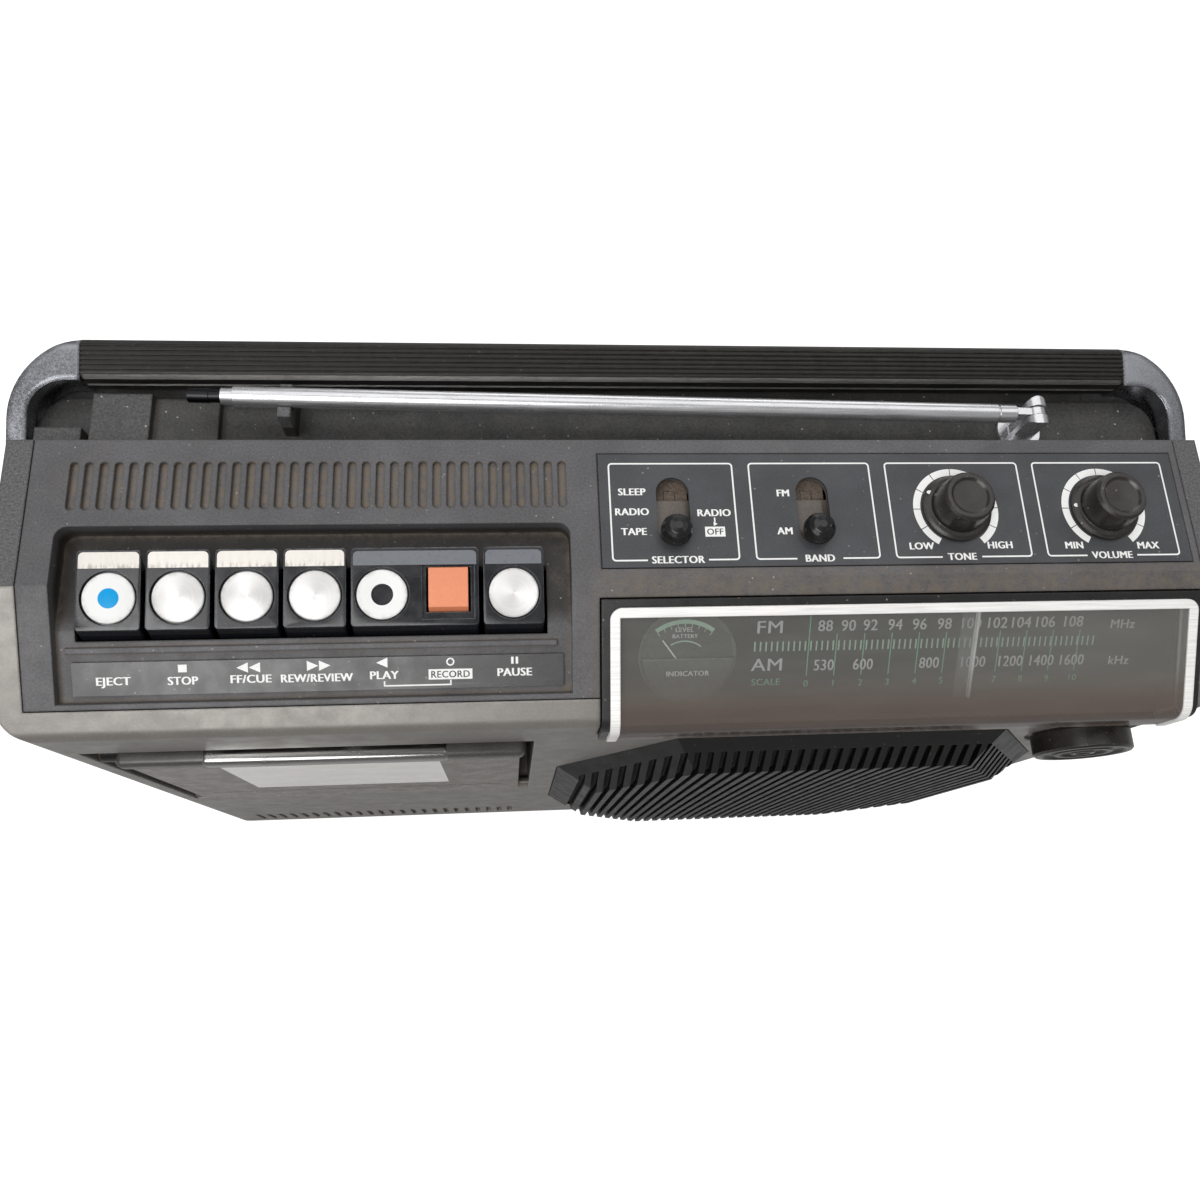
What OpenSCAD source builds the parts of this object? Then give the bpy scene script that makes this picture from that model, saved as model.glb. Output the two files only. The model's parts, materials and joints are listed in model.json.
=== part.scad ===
// Portable radio cassette recorder with a fold-down handle, piano keys and a sloping dial.
// X runs along the width, Y from front to back, Z up. The floor is Z = 0.
// Every module works in case coordinates, with Y = 0 at the ridge where the flat top meets the
// sloping control face. in_frame() then centres the whole object over the origin.

/* [Case] */
// Width of the case over its side walls
case_w = 300; // [290:1:320]
// Height of the flat top above the floor
case_h = 220; // [210:1:240]
// Depth of the front cabinet, from its face to the ridge
front_d = 33; // [32:0.5:36]
// Depth of the rear cabinet, from the ridge to its back
rear_d = 55.5; // [54:0.5:62]
// Depth of the flat part of the top
flat_d = 36.6; // [35:0.1:38]
// Angle of the control face below the horizontal
slope_deg = 24; // [22:0.5:26]
// Thickness of the cabinet walls
wall = 2.5; // [2:0.1:3]
// Radius of the upright cabinet corners
corner_r = 8; // [5:0.5:10]
// Radius of the lip between the control face and the front
lip_r = 3.2; // [3.2:0.1:5]
// Drop of the aerial trough below the flat top
trough_drop = 14; // [13:0.5:16]
// Height of the rubber feet
foot_h = 3; // [2:0.5:5]
// Radius of a rubber foot
foot_r = 8; // [6:0.5:10]

/* [Top panel] */
// Width of the cabinet strip left and right of the top panel
panel_side = 6.5; // [5:0.5:8]
// Thickness of the top panel
panel_t = 2.5; // [2:0.1:3]
// Width of the cabinet band below the top panel on the control face
band_w = 7; // [5:0.2:7]
// Number of cooling grooves
vent_count = 35; // [20:1:36]
// Pitch of the cooling grooves
vent_pitch = 3.39; // [3:0.01:3.4]
// Width of one cooling groove
vent_w = 2; // [1.2:0.1:2.4]
// Length of one cooling groove
vent_l = 12.3; // [8:0.1:13]
// Depth of one cooling groove
vent_depth = 1.2; // [0.6:0.1:1.6]
// Thickness of the control plate
plate_t = 0.8; // [0.5:0.1:1.2]

/* [Keys] */
// Distance from the case side to the first key
key_margin = 18.7; // [17:0.1:20]
// Width of one key cap
key_w = 14.4; // [13.6:0.1:14.8]
// Pitch of the keys
key_pitch = 15.55; // [15.4:0.05:15.8]
// Tilt of the key tops
key_tilt = 12; // [10:0.5:14]
// Length of the key tops
key_l = 18.6; // [17.5:0.1:19]
// Height of a key cap
key_cap_h = 14.4; // [13:0.1:15]
// Angle through which a key is pressed
key_press_deg = 8; // [6:0.5:9]
// Radius of the key shaft
key_shaft_r = 1.5; // [1.2:0.1:2]
// Radius of the metal disc on a key
disc_r = 5.9; // [5:0.1:6.1]
// Size of the square record button
record_size = 9.4; // [8.5:0.1:10]
// Depth of the pocket that the keys stand in
pocket_depth = 6.5; // [6:0.1:7]
// Height of the label strip along the control face
label_l = 8; // [7:0.2:8.4]

/* [Dial] */
// Distance from the key pocket to the dial bezel
dial_margin = 7; // [5:0.5:9]
// Drop of the dial below the lip
dial_drop = 11.7; // [10.5:0.1:13]
// Height of the dial over the control face
dial_up = 1.4; // [0.6:0.1:2]
// Width of the bezel rim
bezel_rim = 2; // [1.6:0.1:2.4]
// Width of the bright trim inside the bezel
trim_w = 2.4; // [1.8:0.1:3]
// Thickness of the clear lens
lens_t = 2.2; // [1.6:0.1:2.6]
// Tilt of the printed scale
scale_tilt = 35; // [33:0.5:36]
// Length of the printed scale plate down the tilt
scale_l = 26.5; // [24:0.5:27]
// Distance of the pointer from the left end of its travel
pointer_at = 44; // [20:1:60]
// Travel of the pointer
pointer_travel = 74; // [60:1:78]
// Radius of the level meter face
meter_r = 12.4; // [10:0.2:12.6]

/* [Controls] */
// Radius of a knob cap
knob_r = 6.2; // [5.6:0.1:6.6]
// Radius of a knob flange
flange_r = 8.8; // [8:0.1:9.2]
// Height of a knob above the panel
knob_h = 8.6; // [7:0.1:10]
// Radius of a knob stem
stem_r = 3; // [2.5:0.1:3.2]
// Width of a lever slot
slot_w = 8.2; // [7.4:0.1:9]
// Length of a lever slot
slot_l = 18; // [17:0.2:19]
// Radius of the tuning knob
tune_r = 13.2; // [12:0.1:14]
// Height of the tuning knob in front of the case
tune_h = 6.4; // [5:0.2:7.2]

/* [Speaker] */
// Height of the grille over the front of the case
grille_bulge = 8; // [5:0.5:8]
// Width of the sloping border of the grille
grille_border = 12; // [10:1:18]
// Width of the cut corners of the grille
grille_cut_x = 30; // [26:1:32]
// Height of the cut corners of the grille
grille_cut_z = 46; // [40:1:48]
// Pitch of the grille slots
grille_pitch = 3.6; // [3.4:0.1:6]
// Width of one grille slot
grille_slot = 1.8; // [1.6:0.1:2.2]
// Radius of the loudspeaker over its flange
speaker_r = 50; // [46:1:52]

/* [Cassette deck] */
// Width of the cassette door
door_w = 106.5; // [105:0.5:108]
// Height of the cassette door
door_h = 96; // [92:0.5:100]
// Gap on each side of the door
door_gap = 3.6; // [3.4:0.1:5]
// Distance from the case side to the door
door_margin = 14; // [13:0.5:16]
// Distance from the flat top to the door
door_drop = 37; // [35:0.5:40]
// Thickness of the door
door_t = 4; // [3.4:0.2:4.4]
// Width of the clear door window
window_w = 61; // [56:1:66]
// Angle to which the door opens
door_open_deg = 30; // [20:1:35]
// Depth of the deck plate behind the front
deck_depth = 22; // [21:0.5:23]
// Distance between the two reel hubs
hub_pitch = 42.5; // [42:0.1:43]

/* [Power] */
// Width of the battery bay
bay_w = 128; // [120:1:134]
// Distance from the flat top to the battery bay
bay_drop = 138.5; // [134:0.5:144]
// Depth of the battery bay
bay_d = 37; // [34:0.5:38]

/* [Handle] */
// Depth of the handle pivot behind the ridge
pivot_y = 12; // [10:0.5:13]
// Drop of the handle pivot below the flat top
pivot_drop = 22; // [21:0.5:24]
// Gap between the back of the case and the folded grip
grip_gap = 1.7; // [1.2:0.1:6]
// Angle of the folded handle above the horizontal
handle_rest_deg = 13.6; // [12:0.2:15]
// Width of the grip
grip_w = 11; // [10:0.5:13]
// Height of the grip
grip_t = 11; // [9:0.5:12]
// Length of the ribbed grip
grip_l = 276; // [240:1:280]
// Number of ribs along the grip
rib_count = 9; // [5:1:9]
// Thickness of a handle arm
arm_t = 4.6; // [3.6:0.2:6]
// Radius of a handle pivot
pivot_r = 3; // [2.5:0.1:4]

/* [Aerial] */
// Distance of the aerial hinge from the right side of the case
aerial_side = 40.7; // [36:0.1:44]
// Distance of the aerial from the back of the case
aerial_back = 9.5; // [9:0.1:10.5]
// Drop of the aerial below the flat top
aerial_drop = 3.7; // [3.4:0.1:4]
// Angle of the folded aerial to the back of the case
aerial_deg = 1.2; // [0:0.1:1.4]
// Length of the folded aerial
aerial_l = 219.8; // [200:0.2:230]
// Outer radius of the largest aerial section
aerial_r = 2.55; // [2.3:0.05:2.6]
// Wall of an aerial section
aerial_wall = 0.4; // [0.3:0.05:0.5]

/* [Clearances] */
// Gap between fixed panels and around moving caps
gap = 0.3; // [0.2:0.05:0.4]
// Radial clearance of a turning shaft
fit = 0.05; // [0.03:0.01:0.08]

/* [Hidden] */
$fn = 64;

// Shared outline of the case
hw = case_w / 2;
tan_s = tan(slope_deg);
cos_s = cos(slope_deg);
sin_s = sin(slope_deg);
lip_s = front_d / cos_s;
lip_z = case_h - front_d * tan_s;
shelf_z = case_h - trough_drop;
panel_x = hw - panel_side;
panel_s = lip_s - band_w;
eps = 0.1;
over = 2;

// A point on the control face: s down the slope from the ridge, h above the face
function on_face(s, h) = [-s * cos_s - h * sin_s, case_h - s * sin_s + h * cos_s];
function reversed(list) = [for (i = [len(list) - 1 : -1 : 0]) list[i]];

// The control face, the rounded lip and the front face as one line, moved out by h
lip_steps = 12;
lip_centre = [-front_d + lip_r, case_h - (front_d - lip_r) * tan_s - lip_r / cos_s];
function wrap_line(h, s0, drop) = concat(
    [on_face(s0, h)],
    [for (i = [0 : lip_steps])
        let (a = 90 + slope_deg + (90 - slope_deg) * i / lip_steps)
        lip_centre + (lip_r + h) * [cos(a), sin(a)]],
    [[-front_d - h, lip_z - drop]]);

// Keys
key_gap = key_pitch - key_w;
key_count = 7;
key_x0 = -hw + key_margin;
keys_w = key_count * key_pitch - key_gap;
key_rear_y = 8.6;
key_rear_z = case_h - 0.6;
key_pivot = [29, case_h - 18];
key_rear = [key_rear_y, key_rear_z];
key_front = key_rear - key_l * [cos(key_tilt), sin(key_tilt)];
key_r_in = norm(key_rear - key_pivot);
key_r_out = norm(key_front - key_pivot);
key_base_z = case_h - 0.6 - key_cap_h;
key_room = 0.8;
key_arm_w = 6;
key_arm_t = 5.6;
key_hub_r = 4;
key_hub_w = 8;
disc_y = -2.3;
disc_t = 1.2;
disc_room = 0.5;
foil_l = 3.8;
foil_t = 0.3;
foil_inset = 0.4;
record_rear = [4.2, -1];
record_sink = 0.3;
function key_x(i) = key_x0 + i * key_pitch;
function key_top(y) = key_rear_z - (key_rear_y - y) * tan(key_tilt);

// Pocket round the keys
tub_t = 1.6;
pocket_x0 = key_x0 - 5.2;
pocket_x1 = key_x0 + keys_w + 6.6;
pocket_rear_y = key_rear_y + 5.8;
pocket_r = 3;
label_depth = 2.2;
label_s = 18.2;
label_x0 = key_x0 - 1.8;
label_x1 = key_x0 + keys_w + 4.6;
label_t = 0.8;
pocket_s = label_s + label_l + 1.6;

// Control area
dial_x1 = panel_x;
dial_x0 = pocket_x1 + dial_margin;
plate_x0 = dial_x0 + 0.5;
plate_x1 = panel_x - 2;
plate_y0 = 2.6;
plate_y1 = flat_d - 4;
control_y = (plate_y0 + plate_y1) / 2 - 0.4;
selector_x = dial_x0 + 18.7;
band_x = selector_x + 35.4;
volume_x = panel_x - 23.1;
tone_x = volume_x - 39.4;
lever_stem = 5;
lever_neck = 2.4;
lever_r = 3.9;
lever_h = 6;
lever_plate_t = 1.5;
lever_plate_w = 11;
lever_rest = -(slot_l - lever_stem) / 2 + 0.5;
board_z = case_h - 22;
board_t = 1.6;
switch_top = case_h - 12;

// Dial
scale_at = [-6.1, case_h - 8.4];
rail_at = [-3.5, case_h - 8.7];
rail_r = 1;
scale_t = 1.2;
bezel_s = 5;
bezel_t = 3;
trim_up = dial_up + 0.9;
trim_in = -1.5;
trim_corner_r = 3;
lens_up = dial_up + 0.5;
window_x0 = dial_x0 + bezel_rim;
window_x1 = dial_x1 - bezel_rim;
pointer_x = window_x0 + 50.4 + pointer_at;
strip_left = 3.9;
strip_w = 4.6;
meter_x = window_x0 + 20.3;
meter_at = 11.5;
needle_at = meter_at + 4.5;
needle_l = 11;
needle_rest = 36;

// Speaker and grille
grille_x1 = hw - 16;
grille_z1 = case_h - 36;
grille_z0 = foot_h + 11;
grille_t = 2;
lip_room = 4.5;
door_x0 = -hw + door_margin;
door_x1 = door_x0 + door_w;
well_t = 2;
grille_lip = 1.5;
grille_x0 = door_x1 + door_gap + well_t + grille_lip + lip_room;
grille_w = grille_x1 - grille_x0;
grille_h = grille_z1 - grille_z0;
grille_cx = (grille_x0 + grille_x1) / 2;
grille_cz = (grille_z0 + grille_z1) / 2;
front_y = -front_d;
speaker_y = front_y + wall + grille_t;

// Tuning
tune_x = hw - 20;
tune_z = case_h - 45.5;
tune_stem_end = front_y + 24;

// Deck
door_z1 = case_h - door_drop;
door_z0 = door_z1 - door_h;
door_cx = (door_x0 + door_x1) / 2;
door_bar_r = 3.2;
door_foot_r = 2;
door_pivot = [front_y + door_foot_r, door_z0 + door_foot_r];
window_z0 = door_z0 + 24;
window_t = 2;
deck_y = front_y + deck_depth;
deck_t = 1.5;
bearing_l = 1;
hub_z = door_z0 + 44;
hub_r = 4.5;
hub_disc_r = 12;
capstan_x = door_cx - 16;
capstan_z = hub_z + 26;
capstan_r = 1;
flywheel_r = 24;
flywheel_y = deck_y + deck_t + bearing_l + 0.5;
flywheel_t = 5;
motor_x = door_cx + 30;
motor_z = hub_z - 14;
motor_r = 16;
motor_l = 24;
motor_gap = 3.5;
pulley_r = 4;
belt_t = 1.2;
head_z = hub_z + 36;
head_plate_t = 1.2;
head_plate_w = 76;
head_plate_h = 14;
guide_x = 30;
guide_rise = 5;
guide_r = 1.5;
head_travel = 5;
roller_r = 6;
roller_l = 9;
roller_x = capstan_x - 1;
roller_z = capstan_z + capstan_r + roller_r + head_travel + 0.6;
post_r = 1;

// Battery bay
bay_z0 = foot_h + wall + 4;
bay_wall = 2;
bay_h = case_h - bay_drop - bay_z0;
bay_y0 = rear_d - wall - bay_d;
cover_t = 2.4;
cover_rim = 2.5;
cover_pivot = [rear_d - cover_t / 2, bay_z0 - cover_rim + cover_t / 2];

// Handle
arm_gap = 0.4;
pivot_z = case_h - pivot_drop;
handle_l = (rear_d + grip_gap + grip_w / 2 - pivot_y) / cos(handle_rest_deg);
span_in = hw + arm_gap;
span_out = span_in + arm_t;
pivot_head_t = 1.2;
pivot_head_r = 5.5;
arm_end_r = 7;
grip_r = 3;
corner_out_r = 21;
corner_in_r = 9;
rib_depth = 0.6;
rib_groove = 0.6;

// Aerial
aerial_x = hw - aerial_side;
aerial_y = rear_d - aerial_back;
aerial_z = case_h - aerial_drop;
blade_t = 2;
cheek_t = 2;
hinge_r = 1;
fork_r = 4;
collar_l = 4.5;
aerial_end_x = aerial_x - aerial_l;
middle_r = aerial_r - aerial_wall - fit;
tip_r = middle_r - aerial_wall - fit;
tube_x1 = aerial_x - fork_r - 2;
tube_x0 = aerial_end_x + 11;

// Fasteners
screw_r = 1.75;
screw_head_r = 3.6;
boss_r = 4.5;
screw_sink = 14;
screw_head_t = 2.5;
screw_nose = 12;
screw_sites = [[-hw + 11, foot_h + 13], [hw - 11, foot_h + 13],
    [-hw + 15, door_z1 + door_bar_r + 2 + boss_r + gap], [hw - 8, case_h - 70]];

// The whole object reaches from the grille or the tuning knob to the back of the folded grip
reach_front = front_y - max(grille_bulge, tune_h - gap);
reach_back = pivot_y + (handle_l + grip_w / 2 - grip_r) * cos(handle_rest_deg)
    + (grip_t / 2 - grip_r) * sin(handle_rest_deg) + grip_r;
frame_y = -(reach_front + reach_back) / 2;

// Helpers
module in_frame() {
    translate([0, frame_y, 0]) children();
}
// Extrudes a profile drawn in Y and Z along X
module bar_x(x0, x1) {
    translate([x0, 0, 0]) rotate([90, 0, 90]) linear_extrude(x1 - x0) children();
}
// Extrudes a profile drawn in X and Z along Y
module bar_y(y0, y1) {
    translate([0, y1, 0]) rotate([90, 0, 0]) linear_extrude(y1 - y0) children();
}
module block(x0, x1, y0, y1, z0, z1) {
    translate([x0, y0, z0]) cube([x1 - x0, y1 - y0, z1 - z0]);
}
module rod_x(x0, x1, r, y, z) {
    translate([x0, y, z]) rotate([0, 90, 0]) cylinder(h = x1 - x0, r = r);
}
module rod_y(y0, y1, r, x, z) {
    translate([x, y0, z]) rotate([-90, 0, 0]) cylinder(h = y1 - y0, r = r);
}
module rod_z(z0, z1, r, x, y) {
    translate([x, y, z0]) cylinder(h = z1 - z0, r = r);
}
module rounded_rect(w, h, r) {
    square([w - 2 * r, h], center = true);
    square([w, h - 2 * r], center = true);
    for (x = [-1, 1], y = [-1, 1]) translate([x * (w / 2 - r), y * (h / 2 - r)]) circle(r);
}
module stadium(w, l) {
    square([w, l - w], center = true);
    for (y = [-1, 1]) translate([0, y * (l - w) / 2]) circle(d = w);
}
module ring(r_out, r_in) {
    difference() {
        circle(r_out, $fn = 128);
        circle(r_in, $fn = 128);
    }
}
// Places children on the control face, with -Y down the slope and +Z out of the face
module on_slope() {
    translate([0, 0, case_h]) rotate([slope_deg, 0, 0]) children();
}
// Places children on the printed scale, with -Y down the tilt
module on_scale() {
    translate([0, scale_at[0], scale_at[1]]) rotate([scale_tilt, 0, 0]) children();
}
// Places children on the top of the key whose middle is at x, at depth y
module on_key(x, y) {
    translate([x, y, key_top(y)]) rotate([key_tilt, 0, 0]) children();
}
module wrap_band(h_out, h_in, s0, drop) {
    polygon(concat(wrap_line(h_out, s0, drop), reversed(wrap_line(h_in, s0, drop))));
}

// Cabinets
module case_plan(inset) {
    translate([0, (rear_d - front_d) / 2])
        rounded_rect(case_w - 2 * inset, front_d + rear_d - 2 * inset, max(corner_r - inset, 1));
}
module front_solid(inset, back) {
    intersection() {
        linear_extrude(case_h + over) case_plan(inset);
        bar_x(-hw, hw) polygon(concat(
            [[back, foot_h + inset], [back, case_h - inset / cos_s + back * tan_s]],
            wrap_line(-inset, over, lip_z - foot_h - inset)));
    }
}
function octagon_points(inset) =
    let (
        w = grille_w / 2 - inset,
        h = grille_h / 2 - inset,
        slant = norm([grille_cut_x, grille_cut_z]),
        cx = grille_cut_x - inset * (grille_cut_x + grille_cut_z - slant) / grille_cut_z,
        cz = cx * grille_cut_z / grille_cut_x)
    [for (p = [[-w + cx, -h], [w - cx, -h], [w, -h + cz], [w, h - cz],
        [w - cx, h], [-w + cx, h], [-w, h - cz], [-w, -h + cz]]) p + [grille_cx, grille_cz]];
module octagon(inset) {
    polygon(octagon_points(inset));
}
well_x0 = door_x0 - door_gap;
well_x1 = door_x1 + door_gap;
well_z0 = door_z0 - gap;
well_z1 = door_z1 + door_bar_r;
lower_slot_pitch = 4.4;
lower_slot_w = 2;
lower_slot_l = 18;
lower_groove_z = case_h - 171;
module front_cabinet() color("dimgray") {
    difference() {
        union() {
            difference() {
                front_solid(0, 0);
                front_solid(wall, over);
            }
            // Walls of the cassette well
            block(well_x0 - well_t, well_x1 + well_t, front_y + wall - eps, deck_y,
                well_z0 - well_t, well_z1 + well_t);
            // Ledges that carry the top panel
            for (side = [-1, 1]) intersection() {
                front_solid(eps, 0);
                on_slope() translate([side * (hw - (panel_side + 2) / 2), -panel_s / 2, -panel_t - 1])
                    cube([panel_side + 2, panel_s, 2], center = true);
            }
            // Bearing of the tuning spindle
            rod_y(front_y + wall - eps, front_y + 16, stem_r + 3, tune_x, tune_z);
            // Screw bosses
            for (p = screw_sites) intersection() {
                front_solid(eps, 0);
                rod_y(front_y + wall - eps, 0, boss_r, p[0], p[1]);
            }
        }
        // Opening for the top panel and the dial
        on_slope() translate([-panel_x - gap, -panel_s - gap, -panel_t])
            cube([2 * (panel_x + gap), panel_s + over + gap, panel_t + over]);
        bar_x(dial_x0 - gap, dial_x1 + gap) polygon(concat(
            wrap_line(over, -over, dial_drop + gap),
            [[front_y + wall + over, lip_z - dial_drop - gap], [over, case_h - 30],
                [over, case_h + over]]));
        // Cassette well
        block(well_x0, well_x1, front_y - over, deck_y + over, well_z0, well_z1);
        for (x = [well_x0 - well_t - eps, well_x1 - eps])
            rod_x(x, x + well_t + 2 * eps, 1.5 + fit, door_pivot[0], door_pivot[1]);
        // Opening for the grille
        bar_y(front_y - over, front_y + wall + over) octagon(0);
        // Dish and bore of the tuning knob
        rod_y(front_y - over, front_y + 1, tune_r + 1.5, tune_x, tune_z);
        rod_y(front_y - over, front_y + 17, stem_r + fit, tune_x, tune_z);
        // Lower grooves
        for (x = [well_x0 + 6 : lower_slot_pitch : well_x1 - 6])
            translate([x, front_y, foot_h + 6 + lower_slot_l / 2]) rotate([90, 0, 0])
                linear_extrude(2 * vent_depth, center = true) stadium(lower_slot_w, lower_slot_l);
        block(well_x0, well_x1, front_y - 1, front_y + 1, lower_groove_z - 0.7, lower_groove_z + 0.7);
        for (p = screw_sites) rod_y(front_y + screw_nose - 2, over, screw_r, p[0], p[1]);
    }
}

module rear_solid(inset, front, top_cut) {
    intersection() {
        linear_extrude(case_h + over) case_plan(inset);
        bar_x(-hw, hw) polygon([
            [front, foot_h + inset], [rear_d - inset, foot_h + inset],
            [rear_d - inset, shelf_z - inset], [flat_d - inset, shelf_z - inset],
            [flat_d - inset, case_h - top_cut], [front, case_h - top_cut]]);
    }
}
pad_h = 5;
pad_step = 2.5;
pads = [[1.5, 12.6, flat_d + 8, pad_h], [14.6, 28.9, rear_d - 1.5, pad_h],
    [28.8, 45, rear_d - 1.5, pad_h - pad_step]];
rest_d = 4.5;
rest_h = 8;
rest_drop = 16.5;
rest_side = 18;
clip_x = -hw + 63;
clip_w = 3.2;
back_slot_count = 16;
back_slot_pitch = 5;
back_slot_l = 26;
jack_y = 22;
jack_z0 = 60;
jack_pitch = 20;
jack_count = 3;
jack_r = 4;
inlet_x = hw - 40;
inlet_z = foot_h + 24;
inlet_w = 20;
inlet_h = 11;
inlet_d = 14;
inlet_pin_r = 1.1;
inlet_pin_x = 3.6;
module aerial_cradle() on_aerial() {
    difference() {
        block(clip_x - clip_w / 2, clip_x + clip_w / 2,
            aerial_y - aerial_r - 3, aerial_y + aerial_r + 0.9, shelf_z - eps, aerial_z + 0.6);
        rod_x(clip_x - clip_w, clip_x + clip_w, aerial_r + gap, aerial_y, aerial_z);
        block(clip_x - clip_w, clip_x + clip_w, aerial_y - aerial_r - gap, aerial_y + aerial_r + gap,
            aerial_z, aerial_z + over);
    }
}
module rear_cabinet() color([0.2, 0.2, 0.2]) {
    difference() {
        union() {
            difference() {
                rear_solid(0, 0, 0);
                rear_solid(wall, -over, panel_t);
            }
            // Ledges that carry the top panel
            for (side = [-1, 1]) intersection() {
                rear_solid(eps, 0, panel_t);
                translate([side * (hw - (panel_side + 2) / 2), flat_d / 2, case_h - panel_t - 1])
                    cube([panel_side + 2, flat_d, 2], center = true);
            }
            // Raised pads at the left end of the trough
            for (p = pads)
                block(-hw + p[0], -hw + p[1], flat_d - eps, p[2], shelf_z - eps, shelf_z + p[3]);
            // Ledge under the folded grip
            block(-hw + rest_side, hw - rest_side, rear_d - eps, rear_d + rest_d,
                case_h - rest_drop - rest_h, case_h - rest_drop);
            aerial_cradle();
            // Battery bay
            block(-bay_w / 2 - bay_wall, bay_w / 2 + bay_wall, bay_y0 - bay_wall, rear_d - eps,
                bay_z0 - bay_wall, bay_z0 + bay_h + bay_wall);
            // Frame behind the seat of the battery cover
            block(-bay_w / 2 - cover_rim - wall, bay_w / 2 + cover_rim + wall,
                rear_d - cover_t - 3, rear_d - eps, foot_h + eps, bay_z0 + bay_h + cover_rim + wall);
            // Screw bosses and the bosses of the handle pivots
            for (p = screw_sites) intersection() {
                rear_solid(eps, 0, panel_t);
                rod_y(0, rear_d - eps, boss_r, p[0], p[1]);
            }
            for (side = [-1, 1])
                rod_x(side * (hw - 5) - 4.5, side * (hw - 5) + 4.5, pivot_r + 3, pivot_y, pivot_z);
        }
        // Seat of the top panel
        block(-panel_x - gap, panel_x + gap, -over, flat_d + over, case_h - panel_t, case_h + over);
        // Battery bay and the seat of its cover
        block(-bay_w / 2, bay_w / 2, bay_y0, rear_d + over, bay_z0, bay_z0 + bay_h);
        block(-bay_w / 2 - cover_rim - gap, bay_w / 2 + cover_rim + gap,
            rear_d - cover_t - gap, rear_d + over,
            bay_z0 - cover_rim - gap, bay_z0 + bay_h + cover_rim + gap);
        // Screws
        for (p = screw_sites) {
            rod_y(-over, rear_d + over, screw_r + gap, p[0], p[1]);
            rod_y(rear_d - screw_sink, rear_d + over, screw_head_r + gap, p[0], p[1]);
        }
        // Handle pivots
        for (side = [-1, 1])
            rod_x(side * hw - 8, side * hw + 8, pivot_r, pivot_y, pivot_z);
        // Cooling slots in the back
        for (i = [0 : back_slot_count - 1])
            translate([(i - (back_slot_count - 1) / 2) * back_slot_pitch, rear_d, bay_z0 + bay_h + 40])
                rotate([90, 0, 0]) linear_extrude(2 * vent_depth, center = true)
                stadium(vent_w, back_slot_l);
        // Sockets
        for (i = [0 : jack_count - 1])
            rod_x(hw - wall - over, hw + over, jack_r, jack_y, jack_z0 + i * jack_pitch);
        block(inlet_x - inlet_w / 2, inlet_x + inlet_w / 2, rear_d - wall - over, rear_d + over,
            inlet_z - inlet_h / 2, inlet_z + inlet_h / 2);
        // Aerial base
        rod_z(shelf_z - wall - over, shelf_z + over, fork_r, aerial_x, aerial_y);
    }
}

// Top panel with the key pocket
module pocket_profile() {
    y_b = -(pocket_depth - label_depth / cos_s) / tan_s;
    polygon([[pocket_rear_y, case_h + over], [pocket_rear_y, case_h - pocket_depth],
        [y_b, case_h - pocket_depth], on_face(pocket_s, -label_depth), on_face(pocket_s, over),
        [0, case_h + over]]);
}
module tub_profile() {
    depth = pocket_depth + tub_t;
    y_c = -(depth - (label_depth + tub_t) / cos_s) / tan_s;
    polygon([[pocket_rear_y + tub_t, case_h - 1], [pocket_rear_y + tub_t, case_h - depth],
        [y_c, case_h - depth], on_face(pocket_s + tub_t - 0.2, -label_depth - tub_t),
        on_face(pocket_s + tub_t - 0.2, -1), [0, case_h - 1.5]]);
}
module key_opening() {
    bar_x(key_x0 - key_room, key_x0 + keys_w + key_room) intersection() {
        translate(key_pivot) ring(key_r_out + key_room, key_r_in - key_room);
        translate([-40, case_h - 16]) square([60, 12]);
    }
}
module panel_holes(grow) {
    for (x = [selector_x, band_x])
        translate([x, control_y]) stadium(slot_w + 2 * grow, slot_l + 2 * grow);
    for (x = [tone_x, volume_x])
        translate([x, control_y]) circle(stem_r + 0.6 + grow);
}
ear_t = 3;
vent_side = 16.2;
vent_back = 5.8;
module top_panel() color([0.16, 0.16, 0.17]) {
    difference() {
        union() {
            bar_x(-panel_x, panel_x) polygon([
                [flat_d, case_h], [0, case_h], on_face(bezel_s - gap, 0), on_face(bezel_s - gap, -panel_t),
                [panel_t * tan(slope_deg / 2), case_h - panel_t], [flat_d, case_h - panel_t]]);
            bar_x(-panel_x, dial_x0 - gap) polygon([
                [eps, case_h], [0, case_h], on_face(panel_s, 0), on_face(panel_s, -panel_t),
                [panel_t * tan(slope_deg / 2), case_h - panel_t]]);
            bar_x(pocket_x0 - tub_t, pocket_x1 + tub_t) tub_profile();
            // Ears that hold the key shaft
            for (x = [key_x0 - 2 - ear_t, key_x0 + keys_w + 2])
                block(x, x + ear_t, key_pivot[0] - 4, key_pivot[0] + 4, key_pivot[1] - 4, case_h - 1);
        }
        intersection() {
            bar_x(pocket_x0, pocket_x1) pocket_profile();
            translate([(pocket_x0 + pocket_x1) / 2, pocket_rear_y - 30, case_h - 40])
                linear_extrude(60) rounded_rect(pocket_x1 - pocket_x0, 60, pocket_r);
        }
        key_opening();
        for (i = [0 : vent_count - 1])
            translate([-hw + vent_side + i * vent_pitch, flat_d - vent_back - vent_l / 2,
                    case_h - vent_depth])
                linear_extrude(2 * vent_depth) stadium(vent_w, vent_l);
        block(plate_x0 - gap, plate_x1 + gap, plate_y0 - gap, plate_y1 + gap,
            case_h - plate_t, case_h + over);
        translate([0, 0, case_h - panel_t - over])
            linear_extrude(panel_t + 2 * over) panel_holes(gap);
        for (x = [key_x0 - 2 - ear_t, key_x0 + keys_w + 2])
            rod_x(x - eps, x + ear_t + eps, key_shaft_r + fit, key_pivot[0], key_pivot[1]);
    }
    // Raised rim in front of the keys
    on_slope() translate([key_x0 - 3, -label_s + 2, -label_depth - eps])
        cube([keys_w + 6, 1.4, 1.1]);
}
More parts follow.
